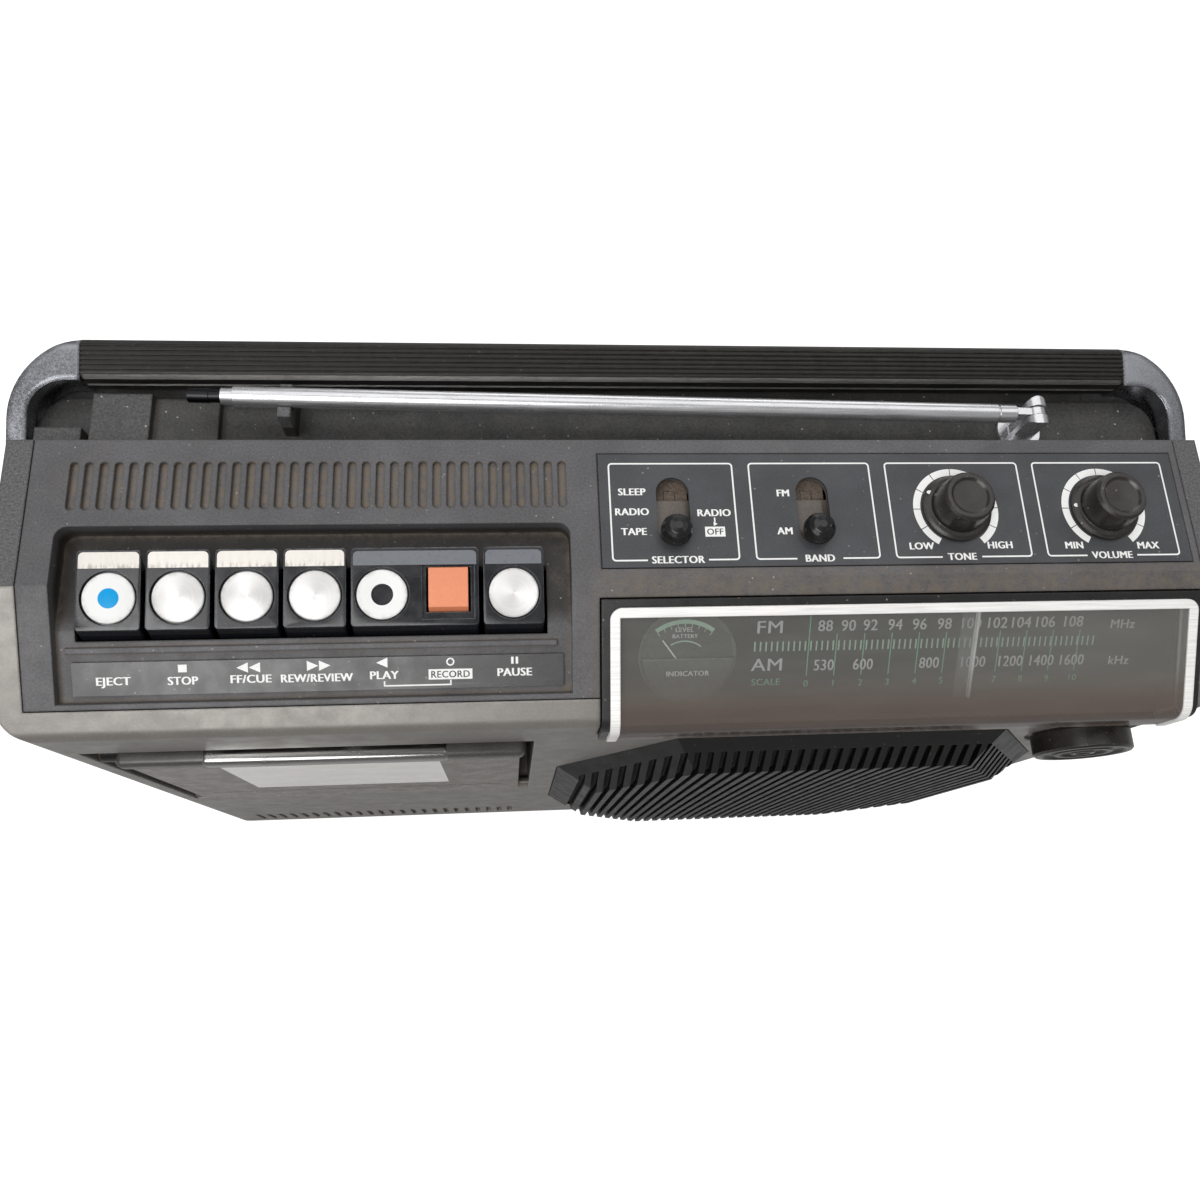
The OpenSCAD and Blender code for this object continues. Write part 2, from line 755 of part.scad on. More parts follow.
module control_plate() color([0.1, 0.1, 0.11])
    difference() {
        block(plate_x0, plate_x1, plate_y0, plate_y1, case_h - plate_t, case_h);
        translate([0, 0, case_h - plate_t - over]) linear_extrude(plate_t + 2 * over) panel_holes(0);
    }
module label_strip() color([0.12, 0.12, 0.13])
    on_slope() translate([label_x0, -label_s - label_l, -label_depth])
        cube([label_x1 - label_x0, label_l, label_t]);

// Keys
module key_shaft() color("silver")
    rod_x(key_x0 - 2 - ear_t, key_x0 + keys_w + 2 + ear_t, key_shaft_r, key_pivot[0], key_pivot[1]);
module key_section(r_in, r_out, sink) {
    intersection() {
        translate(key_pivot) ring(r_out, r_in);
        polygon([[-30, key_top(-30) - sink], [20, key_top(20) - sink],
            [20, key_base_z], [-30, key_base_z]]);
    }
}
module key_lever(x, reach) {
    rod_x(x - key_hub_w / 2, x + key_hub_w / 2, key_hub_r, key_pivot[0], key_pivot[1]);
    block(x - key_arm_w / 2, x + key_arm_w / 2, key_pivot[0] - reach + 3, key_pivot[0],
        key_base_z - key_arm_t, key_base_z + 0.5);
}
module key_bore(x) {
    rod_x(x - key_hub_w, x + key_hub_w, key_shaft_r + fit, key_pivot[0], key_pivot[1]);
}
module disc_seat(x) {
    on_key(x, disc_y) translate([0, 0, -disc_t]) cylinder(h = disc_t + over, r = disc_r + disc_room);
}
module foil_place(x) {
    y1 = key_rear_y - foil_inset;
    on_key(x, y1) translate([-key_w / 2 + foil_inset, -foil_l, -foil_t])
        cube([key_w - 2 * foil_inset, foil_l, foil_t]);
}
module foil_seat(x) {
    y1 = key_rear_y - foil_inset;
    on_key(x, y1) translate([-key_w / 2 + foil_inset, -foil_l, -foil_t])
        cube([key_w - 2 * foil_inset, foil_l, foil_t + over]);
}
module key(i, foil) {
    x = key_x(i) + key_w / 2;
    difference() {
        union() {
            bar_x(key_x(i), key_x(i) + key_w) key_section(key_r_in, key_r_out, 0);
            key_lever(x, key_r_out);
        }
        key_bore(x);
        disc_seat(x);
        if (foil) foil_seat(x);
    }
}
module disc_on(i, hole, foil) {
    x = key_x(i) + key_w / 2;
    on_key(x, disc_y) translate([0, 0, -disc_t]) rotate_extrude($fn = 96) polygon([
        [hole, 0], [disc_r, 0], [disc_r, disc_t - 0.2], [disc_r - 0.3, disc_t], [hole, disc_t - 0.35]]);
    if (foil) foil_place(x);
}
play_index = 4;
record_index = 5;
record_x = key_x(record_index) + key_w / 2;
record_front = record_rear[0] - record_size;
record_r_in = norm([record_rear[0], key_top(record_rear[0])] - key_pivot);
record_r_out = norm([record_front, key_top(record_front)] - key_pivot);
module eject_key() color([0.12, 0.12, 0.13]) key(0, true);
module stop_key() color([0.12, 0.12, 0.13]) key(1, true);
module fast_forward_key() color([0.12, 0.12, 0.13]) key(2, true);
module rewind_key() color([0.12, 0.12, 0.13]) key(3, true);
module pause_key() color([0.12, 0.12, 0.13]) key(6, false);
module play_key() color([0.12, 0.12, 0.13]) {
    x = key_x(play_index) + key_w / 2;
    difference() {
        union() {
            bar_x(key_x(play_index), key_x(record_index) + key_w)
                key_section(key_r_in, key_r_out, 0);
            key_lever(x, key_r_out);
        }
        key_bore(x);
        disc_seat(x);
        // Passage of the record button and of its lever
        bar_x(record_x - record_size / 2 - 0.6, record_x + record_size / 2 + 0.6) intersection() {
            translate(key_pivot) ring(record_r_out + 0.6, record_r_in - 0.6);
            translate([-30, key_base_z - over]) square([60, 40]);
        }
        block(record_x - key_arm_w / 2 - 0.6, record_x + key_arm_w / 2 + 0.6, -8, key_pivot[0],
            key_base_z - over, key_base_z + 6.5);
        // Shallow surround of the record button
        on_key(record_x, record_front - 3) translate([-record_size / 2 - 1.5, 0, -1])
            cube([record_size + 3, record_size + 3.8, 1 + over]);
    }
}
module record_key() color([0.9, 0.42, 0.25]) {
    difference() {
        union() {
            bar_x(record_x - record_size / 2, record_x + record_size / 2)
                key_section(record_r_in, record_r_out, record_sink);
            translate([0, 0, -0.7]) key_lever(record_x, record_r_out);
            block(record_x - key_arm_w / 2, record_x + key_arm_w / 2, -5, 2,
                key_base_z - 2, key_base_z + 1);
            rod_x(record_x - key_hub_w / 2, record_x + key_hub_w / 2, key_hub_r,
                key_pivot[0], key_pivot[1]);
        }
        key_bore(record_x);
    }
}
module eject_disc() color("white") disc_on(0, 0, true);
module stop_disc() color("silver") disc_on(1, 0, true);
module fast_forward_disc() color("silver") disc_on(2, 0, true);
module rewind_disc() color("silver") disc_on(3, 0, true);
module play_disc() color("silver") disc_on(play_index, 2.6, false);
module pause_disc() color("silver") disc_on(6, 0, false);

// Dial
// Outline of the window seen along the control face, with round upper corners
module window_outline() {
    on_slope() translate([(window_x0 + window_x1) / 2, -bezel_s - bezel_rim - 30, -25])
        linear_extrude(40) rounded_rect(window_x1 - window_x0, 60, trim_corner_r);
}
module dial_bezel() color([0.08, 0.08, 0.08]) {
    difference() {
        bar_x(dial_x0, dial_x1) wrap_band(dial_up, -bezel_t, bezel_s, dial_drop);
        intersection() {
            bar_x(window_x0, window_x1)
                wrap_band(dial_up + over, -bezel_t - eps, bezel_s + bezel_rim, dial_drop - bezel_rim);
            window_outline();
        }
    }
    // Cheeks that hold the scale
    for (x = [dial_x0, window_x1]) bar_x(x, x + bezel_rim) polygon([
        on_face(bezel_s, -1), lip_centre, [front_y + bezel_t - 1, lip_z - dial_drop],
        [scale_at[0] - scale_l * cos(scale_tilt), scale_at[1] - scale_l * sin(scale_tilt) - 4],
        [rail_at[0] + 2, rail_at[1] - 3], [rail_at[0] + 2, on_face(bezel_s, -bezel_t)[1]]]);
    // Rail of the pointer
    rod_x(window_x0 - eps, window_x1 + eps, rail_r, rail_at[0], rail_at[1]);
}
module dial_trim() color("silver")
    difference() {
        intersection() {
            bar_x(window_x0, window_x1)
                wrap_band(trim_up, trim_in, bezel_s + bezel_rim, dial_drop - bezel_rim);
            window_outline();
        }
        bar_x(window_x0 + trim_w, window_x1 - trim_w)
            wrap_band(trim_up + over, trim_in - eps, bezel_s + bezel_rim + trim_w, dial_drop + over);
    }
module dial_lens() color([0.75, 0.78, 0.78, 0.35])
    bar_x(window_x0 + trim_w, window_x1 - trim_w)
        wrap_band(lens_up, lens_up - lens_t, bezel_s + bezel_rim + trim_w, dial_drop - bezel_rim);
module dial_scale() color([0.07, 0.07, 0.07])
    on_scale() difference() {
        translate([window_x0, -scale_l, -scale_t])
            cube([window_x1 - window_x0, scale_l + 0.5, scale_t]);
        translate([meter_x, -meter_at, -over]) cylinder(h = 2 * over, r = meter_r - 2.4);
    }
module dial_pointer() color("white")
    difference() {
        on_scale() {
            translate([pointer_x - strip_left, -scale_l + 2.5, 1.4]) cube([strip_w, scale_l - 1.5, 0.8]);
            translate([pointer_x - 0.35, -scale_l + 2.5, 2.1]) cube([0.7, scale_l - 3, 0.4]);
            translate([pointer_x - strip_left, 0.9, -3.2]) cube([strip_w, 2.5, 3.2]);
            translate([pointer_x - strip_left, 0.9, -eps]) cube([strip_w, 0.9, 1.6]);
        }
        rod_x(pointer_x - 5, pointer_x + 5, rail_r + fit, rail_at[0], rail_at[1]);
    }
module level_meter() color([0.15, 0.15, 0.15])
    on_scale() translate([meter_x, -meter_at, 0]) {
        rotate_extrude($fn = 96) polygon([[0, -9], [meter_r - 2.5, -9], [meter_r - 2.5, 0], [meter_r, 0],
            [meter_r, 1], [meter_r - 0.6, 1], [meter_r - 0.6, 0.5], [0, 0.5]]);
        translate([0, meter_at - needle_at, 0.4]) cylinder(h = 1.4, r = 0.5);
    }
module meter_needle() color("white")
    on_scale() translate([meter_x, -needle_at, 0.8]) rotate([0, 0, needle_rest])
        difference() {
            union() {
                cylinder(h = 0.6, r = 1.3);
                translate([-0.2, 0, 0.1]) cube([0.4, needle_l, 0.4]);
            }
            translate([0, 0, -1]) cylinder(h = 3, r = 0.5 + fit);
        }

// Controls
module lever(x) {
    y = control_y + lever_rest;
    plate_top = case_h - panel_t - gap;
    half = lever_neck / 2;
    block(x - lever_plate_w / 2, x + lever_plate_w / 2, y - 8, y + 10,
        plate_top - lever_plate_t, plate_top);
    block(x - half, x + half, y - lever_stem / 2, y + lever_stem / 2, plate_top - eps, case_h + 1);
    block(x - half, x + half, y - half, y + half, switch_top - 2.4, plate_top - eps);
    translate([x, y, case_h + gap]) rotate_extrude() polygon([
        [0, 0], [lever_r - 1.2, 0], [lever_r - 0.4, 0.7], [lever_r, 2], [lever_r - 0.1, lever_h - 2.6],
        [lever_r - 0.7, lever_h - 1.2], [lever_r - 1.7, lever_h - 0.4], [lever_r - 3, lever_h],
        [0, lever_h]]);
}
module selector_lever() color([0.1, 0.1, 0.1]) lever(selector_x);
module band_lever() color([0.1, 0.1, 0.1]) lever(band_x);
module knob(x) {
    translate([x, control_y, case_h + gap]) rotate_extrude($fn = 96) polygon([
        [0, 0], [flange_r, 0], [flange_r, 0.9], [flange_r - 0.8, 1.3], [knob_r + 0.9, 1.5],
        [knob_r + 0.2, knob_h - 0.7], [knob_r - 0.5, knob_h], [knob_r - 1.3, knob_h],
        [knob_r - 2, knob_h - 0.6], [0, knob_h - 0.9]]);
    rod_z(board_z + board_t + 5, case_h + gap + eps, stem_r, x, control_y);
}
module tone_knob() color([0.09, 0.09, 0.09]) knob(tone_x);
module volume_knob() color([0.09, 0.09, 0.09]) knob(volume_x);
module control_board() color("darkgreen") {
    z1 = board_z + board_t;
    block(selector_x - 9, volume_x + 9, control_y - 12, control_y + 12, board_z, z1);
    // Slide switches
    for (x = [selector_x, band_x]) difference() {
        block(x - 5, x + 5, control_y - 11, control_y + 11, z1 - eps, switch_top);
        block(x - 1.6, x + 1.6, control_y - 9.5, control_y + 9.5, switch_top - 4, switch_top + over);
    }
    // Potentiometers
    for (x = [tone_x, volume_x]) difference() {
        union() {
            rod_z(z1 - eps, z1 + 9, 8, x, control_y);
            rod_z(z1, case_h - panel_t, stem_r + 1.4, x, control_y);
        }
        rod_z(z1 + 3, case_h + over, stem_r + fit, x, control_y);
    }
    // Spacers under the panel
    for (x = [(selector_x + band_x) / 2, (tone_x + volume_x) / 2])
        rod_z(z1 - eps, case_h - panel_t, 2.5, x, control_y);
}
module tuning_knob() color([0.09, 0.09, 0.09]) {
    translate([tune_x, front_y + gap, tune_z]) rotate([90, 0, 0]) rotate_extrude($fn = 96) polygon([
        [0, 0], [tune_r - 0.4, 0], [tune_r, 0.8], [tune_r, tune_h - 0.6], [tune_r - 0.6, tune_h],
        [tune_r - 2, tune_h], [tune_r - 2.6, tune_h - 0.7], [tune_r - 5, tune_h - 0.7],
        [tune_r - 5.5, tune_h], [tune_r - 6.8, tune_h], [tune_r - 7.3, tune_h - 0.7],
        [tune_r - 9.6, tune_h - 0.7], [tune_r - 10.1, tune_h], [tune_r - 11, tune_h],
        [tune_r - 11.5, tune_h - 0.8], [0, tune_h - 0.8]]);
    rod_y(front_y + gap - eps, tune_stem_end, stem_r, tune_x, tune_z);
}

// Speaker
// Flat-topped octagon that stands out from the front face
module grille_form(inset, depth) {
    hull() {
        bar_y(front_y, front_y + eps) octagon(inset);
        bar_y(front_y - depth, front_y - depth + eps / 10) octagon(inset + grille_border);
    }
}
module speaker_grille() color([0.13, 0.13, 0.13]) {
    margin = 5;
    difference() {
        union() {
            bar_y(front_y, front_y + wall) octagon(gap);
            grille_form(gap, grille_bulge);
            bar_y(front_y + wall, front_y + wall + grille_t) octagon(-grille_lip);
        }
        bar_y(front_y - eps, front_y + wall + grille_t + over) octagon(grille_t + gap);
        grille_form(grille_t + gap, grille_bulge - grille_t);
        intersection() {
            for (x = [grille_cx - floor((grille_w / 2 - margin) / grille_pitch) * grille_pitch
                    : grille_pitch : grille_x1 - margin])
                block(x - grille_slot / 2, x + grille_slot / 2,
                    front_y - grille_bulge - over, front_y + wall, grille_z0, grille_z1);
            bar_y(front_y - grille_bulge - over, front_y + wall) octagon(margin);
        }
    }
}
module speaker_mesh() color([0.05, 0.05, 0.05]) {
    lining = 0.5;
    first = grille_t + gap;
    difference() {
        union() {
            bar_y(front_y, front_y + wall + grille_t) octagon(first);
            grille_form(first, grille_bulge - grille_t);
        }
        bar_y(front_y - eps, front_y + wall + grille_t + over) octagon(first + lining);
        grille_form(first + lining, grille_bulge - grille_t - lining);
    }
}
module speaker_frame() color([0.3, 0.3, 0.3]) {
    translate([grille_cx, speaker_y, grille_cz]) rotate([-90, 0, 0]) rotate_extrude($fn = 96) polygon([
        [speaker_r - 4, 0], [speaker_r, 0], [speaker_r, 1.5], [speaker_r - 4, 1.5], [speaker_r - 8, 8],
        [22, 20], [22, 32], [8, 32], [8, 20], [20, 18.5], [speaker_r - 9, 6.5]]);
    // Straps that hold the flange to the back of the grille
    for (side = [-1, 1])
        translate([grille_cx + side * (speaker_r + grille_w / 2) / 2, speaker_y + 0.75, grille_cz])
            cube([grille_w / 2 - speaker_r + 2, 1.5, 12], center = true);
}
module speaker_cone() color([0.1, 0.1, 0.1])
    translate([grille_cx, speaker_y, grille_cz]) rotate([-90, 0, 0]) rotate_extrude($fn = 96) polygon([
        [speaker_r - 4.8, 0], [speaker_r - 5.2, 0.9], [speaker_r - 10.4, 5.6], [16, 16.6], [8, 12],
        [0, 10], [0, 9.4], [8, 11.2], [15.6, 15.6], [speaker_r - 10.8, 4.8]]);

// Cassette deck
module door_profile() {
    y0 = front_y;
    translate([y0, door_pivot[1]]) square([door_t, door_h - door_foot_r - door_bar_r]);
    translate(door_pivot) circle(door_foot_r);
    translate([y0 + door_t / 2, door_z1 - door_bar_r]) circle(door_bar_r);
}
window_x0d = door_cx - window_w / 2;
window_x1d = door_cx + window_w / 2;
module cassette_door() color([0.4, 0.4, 0.41]) {
    difference() {
        bar_x(door_x0, door_x1) door_profile();
        block(window_x0d, window_x1d, front_y - 4, front_y + 10, window_z0, door_z1 + over);
        block(door_x0 + 6, door_x1 - 6, front_y - 1, front_y + 0.8, window_z0 - 9.6, window_z0 - 8.4);
    }
    for (x = [door_x0 - door_gap - 1.4, door_x1 - eps])
        rod_x(x, x + door_gap + 1.4 + eps, 1.5, door_pivot[0], door_pivot[1]);
}
module door_window() color([0.6, 0.6, 0.62, 0.5])
    difference() {
        intersection() {
            bar_x(window_x0d, window_x1d) door_profile();
            block(window_x0d, window_x1d, front_y - 4, front_y + 10, window_z0, door_z1 + over);
        }
        block(window_x0d - over, window_x1d + over, front_y + window_t, front_y + door_t + over,
            window_z0 - over, door_z1 - 2 * door_bar_r);
    }
holder_t = 1.6;
holder_d = 14;
module cassette_holder() color([0.25, 0.25, 0.25]) {
    y0 = front_y + door_t;
    z0 = door_z0 + 8;
    for (x = [door_x0 + 0.5, door_x1 - 0.5 - holder_t])
        block(x, x + holder_t, y0, y0 + holder_d, z0, z0 + 56);
    block(door_x0 + 0.5, door_x1 - 0.5, y0, y0 + holder_d, z0, z0 + holder_t);
    for (x = [door_x0 + 0.5, door_x1 - 0.5 - 6])
        block(x, x + 6, y0 + holder_d - holder_t, y0 + holder_d, z0, z0 + 56);
}
module deck_chassis() color([0.62, 0.63, 0.64])
    difference() {
        union() {
            block(well_x0 - well_t, well_x1 + well_t, deck_y, deck_y + deck_t,
                well_z0 - well_t, well_z1 + well_t);
            // Guide posts of the head plate and bearings of the hubs and the capstan
            for (side = [-1, 1])
                rod_y(deck_y - gap - head_plate_t, deck_y + eps, guide_r,
                    door_cx + side * guide_x, head_z + guide_rise);
            for (side = [-1, 1])
                rod_y(deck_y + deck_t - eps, deck_y + deck_t + bearing_l, hub_r - 0.5,
                    door_cx + side * hub_pitch / 2, hub_z);
            rod_y(deck_y + deck_t - eps, deck_y + deck_t + bearing_l, hub_r + 0.5, capstan_x, capstan_z);
        }
        for (side = [-1, 1])
            rod_y(deck_y - over, deck_y + 10, post_r + 0.5 + fit, door_cx + side * hub_pitch / 2, hub_z);
        rod_y(deck_y - over, deck_y + 10, capstan_r + fit, capstan_x, capstan_z);
        rod_y(deck_y - over, deck_y + 10, pulley_r + 1.5, motor_x, motor_z);
    }
module reel_hub(side) {
    x = door_cx + side * hub_pitch / 2;
    rod_y(deck_y - 12, deck_y - gap, hub_r - 1, x, hub_z);
    rod_y(deck_y - 2.5, deck_y - gap, hub_disc_r, x, hub_z);
    rod_y(deck_y - gap - eps, deck_y + deck_t + bearing_l, post_r + 0.5, x, hub_z);
    for (a = [0, 120, 240])
        translate([x, 0, hub_z]) rotate([0, a, 0])
            block(hub_r - 1.5, hub_r + 0.8, deck_y - 11, deck_y - 2, -0.7, 0.7);
}
module supply_hub() color([0.15, 0.15, 0.15]) reel_hub(-1);
module take_up_hub() color([0.15, 0.15, 0.15]) reel_hub(1);
module capstan_flywheel() color([0.7, 0.68, 0.6]) {
    rod_y(deck_y - 12, flywheel_y + eps, capstan_r, capstan_x, capstan_z);
    difference() {
        rod_y(flywheel_y, flywheel_y + flywheel_t, flywheel_r, capstan_x, capstan_z);
        rod_y(flywheel_y + 3, flywheel_y + flywheel_t + over, flywheel_r - 4, capstan_x, capstan_z);
    }
}
module head_plate() color([0.7, 0.71, 0.72]) {
    y1 = deck_y - gap;
    y0 = y1 - head_plate_t;
    difference() {
        block(door_cx - head_plate_w / 2, door_cx + head_plate_w / 2, y0, y1,
            head_z, head_z + head_plate_h);
        for (side = [-1, 1])
            translate([door_cx + side * guide_x, y1 + over, head_z + guide_rise + head_travel / 2])
                rotate([90, 0, 0]) linear_extrude(head_plate_t + 2 * over)
                stadium(2 * guide_r + 0.4, 2 * guide_r + 0.4 + head_travel);
    }
    // Record and play head, erase head and the post of the pinch roller
    block(door_cx - 6, door_cx + 6, y0 - 10, y0 + eps, head_z - 6, head_z + 6);
    rod_x(door_cx - 5, door_cx + 5, 4, y0 - 5, head_z - 5);
    block(door_cx + 12, door_cx + 20, y0 - 9, y0 + eps, head_z - 5, head_z + 4);
    rod_y(y0 - 11, y0 + eps, post_r, roller_x, roller_z);
    block(roller_x - 4, roller_x + 4, y0, y1, min(head_z, roller_z - 3), head_z + 1);
}
module pinch_roller() color([0.08, 0.08, 0.08])
    difference() {
        rod_y(deck_y - gap - head_plate_t - 0.5 - roller_l, deck_y - gap - head_plate_t - 0.5,
            roller_r, roller_x, roller_z);
        rod_y(deck_y - deck_depth, deck_y, post_r + fit, roller_x, roller_z);
    }
module drive_motor() color([0.6, 0.6, 0.62])
    difference() {
        rod_y(flywheel_y + flywheel_t + motor_gap, flywheel_y + flywheel_t + motor_gap + motor_l,
            motor_r, motor_x, motor_z);
        rod_y(flywheel_y, flywheel_y + flywheel_t + 10, post_r + fit, motor_x, motor_z);
    }
module motor_pulley() color([0.8, 0.7, 0.35]) {
    rod_y(flywheel_y, flywheel_y + flywheel_t, pulley_r, motor_x, motor_z);
    rod_y(flywheel_y + flywheel_t - eps, flywheel_y + flywheel_t + 9, post_r, motor_x, motor_z);
}
// Outline of a belt round two wheels: arcs at a and b joined by their outer tangents
belt_steps = 24;
function belt_points(a, ra, b, rb) =
    let (
        d = norm(b - a),
        lead = atan2(b[1] - a[1], b[0] - a[0]),
        open = acos((ra - rb) / d))
    concat(
        [for (i = [0 : belt_steps])
            let (t = lead + open + (360 - 2 * open) * i / belt_steps)
            a + ra * [cos(t), sin(t)]],
        [for (i = [0 : belt_steps])
            let (t = lead - open + 2 * open * i / belt_steps)
            b + rb * [cos(t), sin(t)]]);
module drive_belt() color([0.05, 0.05, 0.05]) {
    a = [capstan_x, capstan_z];
    b = [motor_x, motor_z];
    bar_y(flywheel_y + 1, flywheel_y + flywheel_t - 1) difference() {
        polygon(belt_points(a, flywheel_r + gap + belt_t, b, pulley_r + gap + belt_t));
        polygon(belt_points(a, flywheel_r + gap, b, pulley_r + gap));
    }
}

// Electronics
board_y = rear_d - 26.5;
main_t = 1.6;
main_x0 = 8;
main_x1 = hw - 14;
main_z0 = bay_z0 + bay_h + bay_wall + 6;
main_z1 = case_h - 40;
pillar_r = 3;
pillar_in = 8;
rod_r = 5;
rod_rise = 8;
coil_w = 24;
trafo_w = 36;
trafo_d = 19;
trafo_h = 30;
filter_r = 5;
filter_l = 14;
saddle_in = 20;
saddle_w = 4;
module main_board() color([0.45, 0.35, 0.2]) {
    back = board_y + main_t - eps;
    block(main_x0, main_x1, board_y, board_y + main_t, main_z0, main_z1);
    for (x = [main_x0 + pillar_in, main_x1 - pillar_in],
            z = [main_z0 + pillar_in - 2, main_z1 - pillar_in + 2])
        rod_y(back, rear_d - wall, pillar_r, x, z);
    // Tuning capacitor, transformer and filter capacitors
    block(main_x1 - coil_w - 10, main_x1 - 10, board_y - 16, board_y + eps,
        main_z1 - coil_w - 6, main_z1 - 6);
    block(main_x0 + 6, main_x0 + 6 + trafo_w, back, back + trafo_d + 0.5,
        main_z0 + 14, main_z0 + 14 + trafo_h);
    for (i = [0 : 3])
        rod_y(board_y - filter_l, board_y + eps, filter_r,
            main_x0 + 16 + i * (2 * filter_r + 4), main_z0 + 20);
    // Saddles of the ferrite rod
    for (x = [main_x0 + saddle_in, main_x1 - saddle_in]) difference() {
        block(x - saddle_w / 2, x + saddle_w / 2, board_y, board_y + main_t,
            main_z1 - eps, main_z1 + rod_rise + 4);
        rod_x(x - saddle_w, x + saddle_w, rod_r, board_y, main_z1 + rod_rise);
    }
}
module ferrite_rod() color([0.2, 0.18, 0.17])
    rod_x(main_x0 + saddle_in / 2, main_x1 - saddle_in / 2, rod_r, board_y, main_z1 + rod_rise);
thumb_w = 28;
thumb_bar = 1.2;
thumb_drop = 9.4;
thumb_depth = 0.8;
module battery_cover() color([0.17, 0.17, 0.17]) {
    difference() {
        bar_x(-bay_w / 2 - cover_rim, bay_w / 2 + cover_rim) union() {
            translate(cover_pivot) circle(d = cover_t);
            translate([rear_d - cover_t, cover_pivot[1]])
                square([cover_t, bay_h + 2 * cover_rim - cover_t / 2]);
        }
        // Finger grip
        for (i = [-2 : 2])
            translate([0, rear_d, bay_z0 + bay_h - thumb_drop + i * 2 * thumb_bar])
                cube([thumb_w, 2 * thumb_depth, thumb_bar], center = true);
    }
}
module rear_sockets() color([0.1, 0.1, 0.1]) {
    for (i = [0 : jack_count - 1]) difference() {
        union() {
            rod_x(hw - wall - 1, hw + 0.4, jack_r, jack_y, jack_z0 + i * jack_pitch);
            block(hw - wall - 14, hw - wall, jack_y - 5.5, jack_y + 5.5,
                jack_z0 + i * jack_pitch - 5.5, jack_z0 + i * jack_pitch + 5.5);
        }
        rod_x(hw - wall - 12, hw + over, 1.8, jack_y, jack_z0 + i * jack_pitch);
    }
    difference() {
        block(inlet_x - inlet_w / 2, inlet_x + inlet_w / 2, rear_d - inlet_d - 4, rear_d,
            inlet_z - inlet_h / 2, inlet_z + inlet_h / 2);
        translate([inlet_x, rear_d + over, inlet_z]) rotate([90, 0, 0])
            linear_extrude(inlet_d + over) rotate(90) stadium(inlet_h - 3.4, inlet_w - 4.4);
    }
    for (side = [-1, 1])
        rod_y(rear_d - inlet_d - 2, rear_d - 3, inlet_pin_r, inlet_x + side * inlet_pin_x, inlet_z);
}

// Handle, drawn with its pivot at the origin and its arms along +Y, then folded back
module handle_frame() {
    translate([0, pivot_y, pivot_z]) rotate([handle_rest_deg, 0, 0]) children();
}
module handle_plan() {
    y1 = handle_l + grip_w / 2;
    y0 = -arm_end_r - over;
    difference() {
        union() {
            translate([-span_out, y0]) square([2 * span_out, y1 - corner_out_r - y0]);
            translate([-span_out + corner_out_r, y0]) square([2 * (span_out - corner_out_r), y1 - y0]);
            for (side = [-1, 1]) translate([side * (span_out - corner_out_r), y1 - corner_out_r])
                circle(corner_out_r, $fn = 128);
        }
        translate([-span_in, y0 - 1]) square([2 * span_in, y1 - grip_w - corner_in_r - y0 + 1]);
        translate([-span_in + corner_in_r, y0 - 1])
            square([2 * (span_in - corner_in_r), y1 - grip_w - y0 + 1]);
        for (side = [-1, 1]) translate([side * (span_in - corner_in_r), y1 - grip_w - corner_in_r])
            circle(corner_in_r, $fn = 96);
    }
}
module grip_section() {
    translate([handle_l, 0]) rounded_rect(grip_w, grip_t, grip_r);
}
module arm_side() {
    circle(arm_end_r, $fn = 96);
    translate([0, -grip_t / 2]) square([handle_l, grip_t]);
    grip_section();
}
module handle_arms() color("silver")
    handle_frame() difference() {
        intersection() {
            translate([0, 0, -20]) linear_extrude(40) handle_plan();
            bar_x(-span_out, span_out) arm_side();
        }
        block(-grip_l / 2, grip_l / 2, -50, handle_l + 50, -20, 20);
        rod_x(-span_out - over, span_out + over, pivot_r + fit, 0, 0);
    }
module handle_grip() color([0.08, 0.08, 0.08])
    handle_frame() bar_x(-grip_l / 2, grip_l / 2) difference() {
        grip_section();
        for (i = [1 : rib_count - 1], side = [-1, 1])
            translate([handle_l - grip_w / 2 + grip_w * i / rib_count, side * grip_t / 2])
                square([rib_groove, 2 * rib_depth], center = true);
    }

// Aerial
module on_aerial() {
    translate([aerial_x, aerial_y, 0]) rotate([0, 0, -aerial_deg])
        translate([-aerial_x, -aerial_y, 0]) children();
}
module antenna_base() color("silver") on_aerial() {
    rod_z(shelf_z - wall, shelf_z + eps, fork_r, aerial_x, aerial_y);
    rod_z(shelf_z, shelf_z + 1.2, fork_r + 2, aerial_x, aerial_y);
    difference() {
        intersection() {
            rod_z(shelf_z, aerial_z + 3, fork_r, aerial_x, aerial_y);
            union() {
                rod_y(aerial_y - 10, aerial_y + 10, 3, aerial_x, aerial_z);
                block(aerial_x - 3, aerial_x + 3, aerial_y - 10, aerial_y + 10, shelf_z, aerial_z);
            }
        }
        block(aerial_x - 10, aerial_x + 10, aerial_y - blade_t / 2 - gap, aerial_y + blade_t / 2 + gap,
            shelf_z + 1.6, aerial_z + 10);
    }
    rod_y(aerial_y - 3, aerial_y + 3, hinge_r, aerial_x, aerial_z);
}
module antenna_tube() color("silver") on_aerial() {
    difference() {
        union() {
            rod_y(aerial_y - blade_t / 2, aerial_y + blade_t / 2, 2.6, aerial_x, aerial_z);
            block(tube_x1 - 1, aerial_x, aerial_y - blade_t / 2, aerial_y + blade_t / 2,
                aerial_z - 1.8, aerial_z + 1.8);
        }
        rod_y(aerial_y - 5, aerial_y + 5, hinge_r + fit, aerial_x, aerial_z);
    }
    rod_x(tube_x1 - collar_l, tube_x1, aerial_r - 0.15, aerial_y, aerial_z);
    difference() {
        union() {
            rod_x(tube_x0, tube_x1 - collar_l - 0.6, aerial_r, aerial_y, aerial_z);
            rod_x(tube_x1 - collar_l - 1, tube_x1 - collar_l + eps, aerial_r - 0.4, aerial_y, aerial_z);
        }
        rod_x(tube_x0 - over, tube_x1 - collar_l - 3, aerial_r - aerial_wall, aerial_y, aerial_z);
    }
}
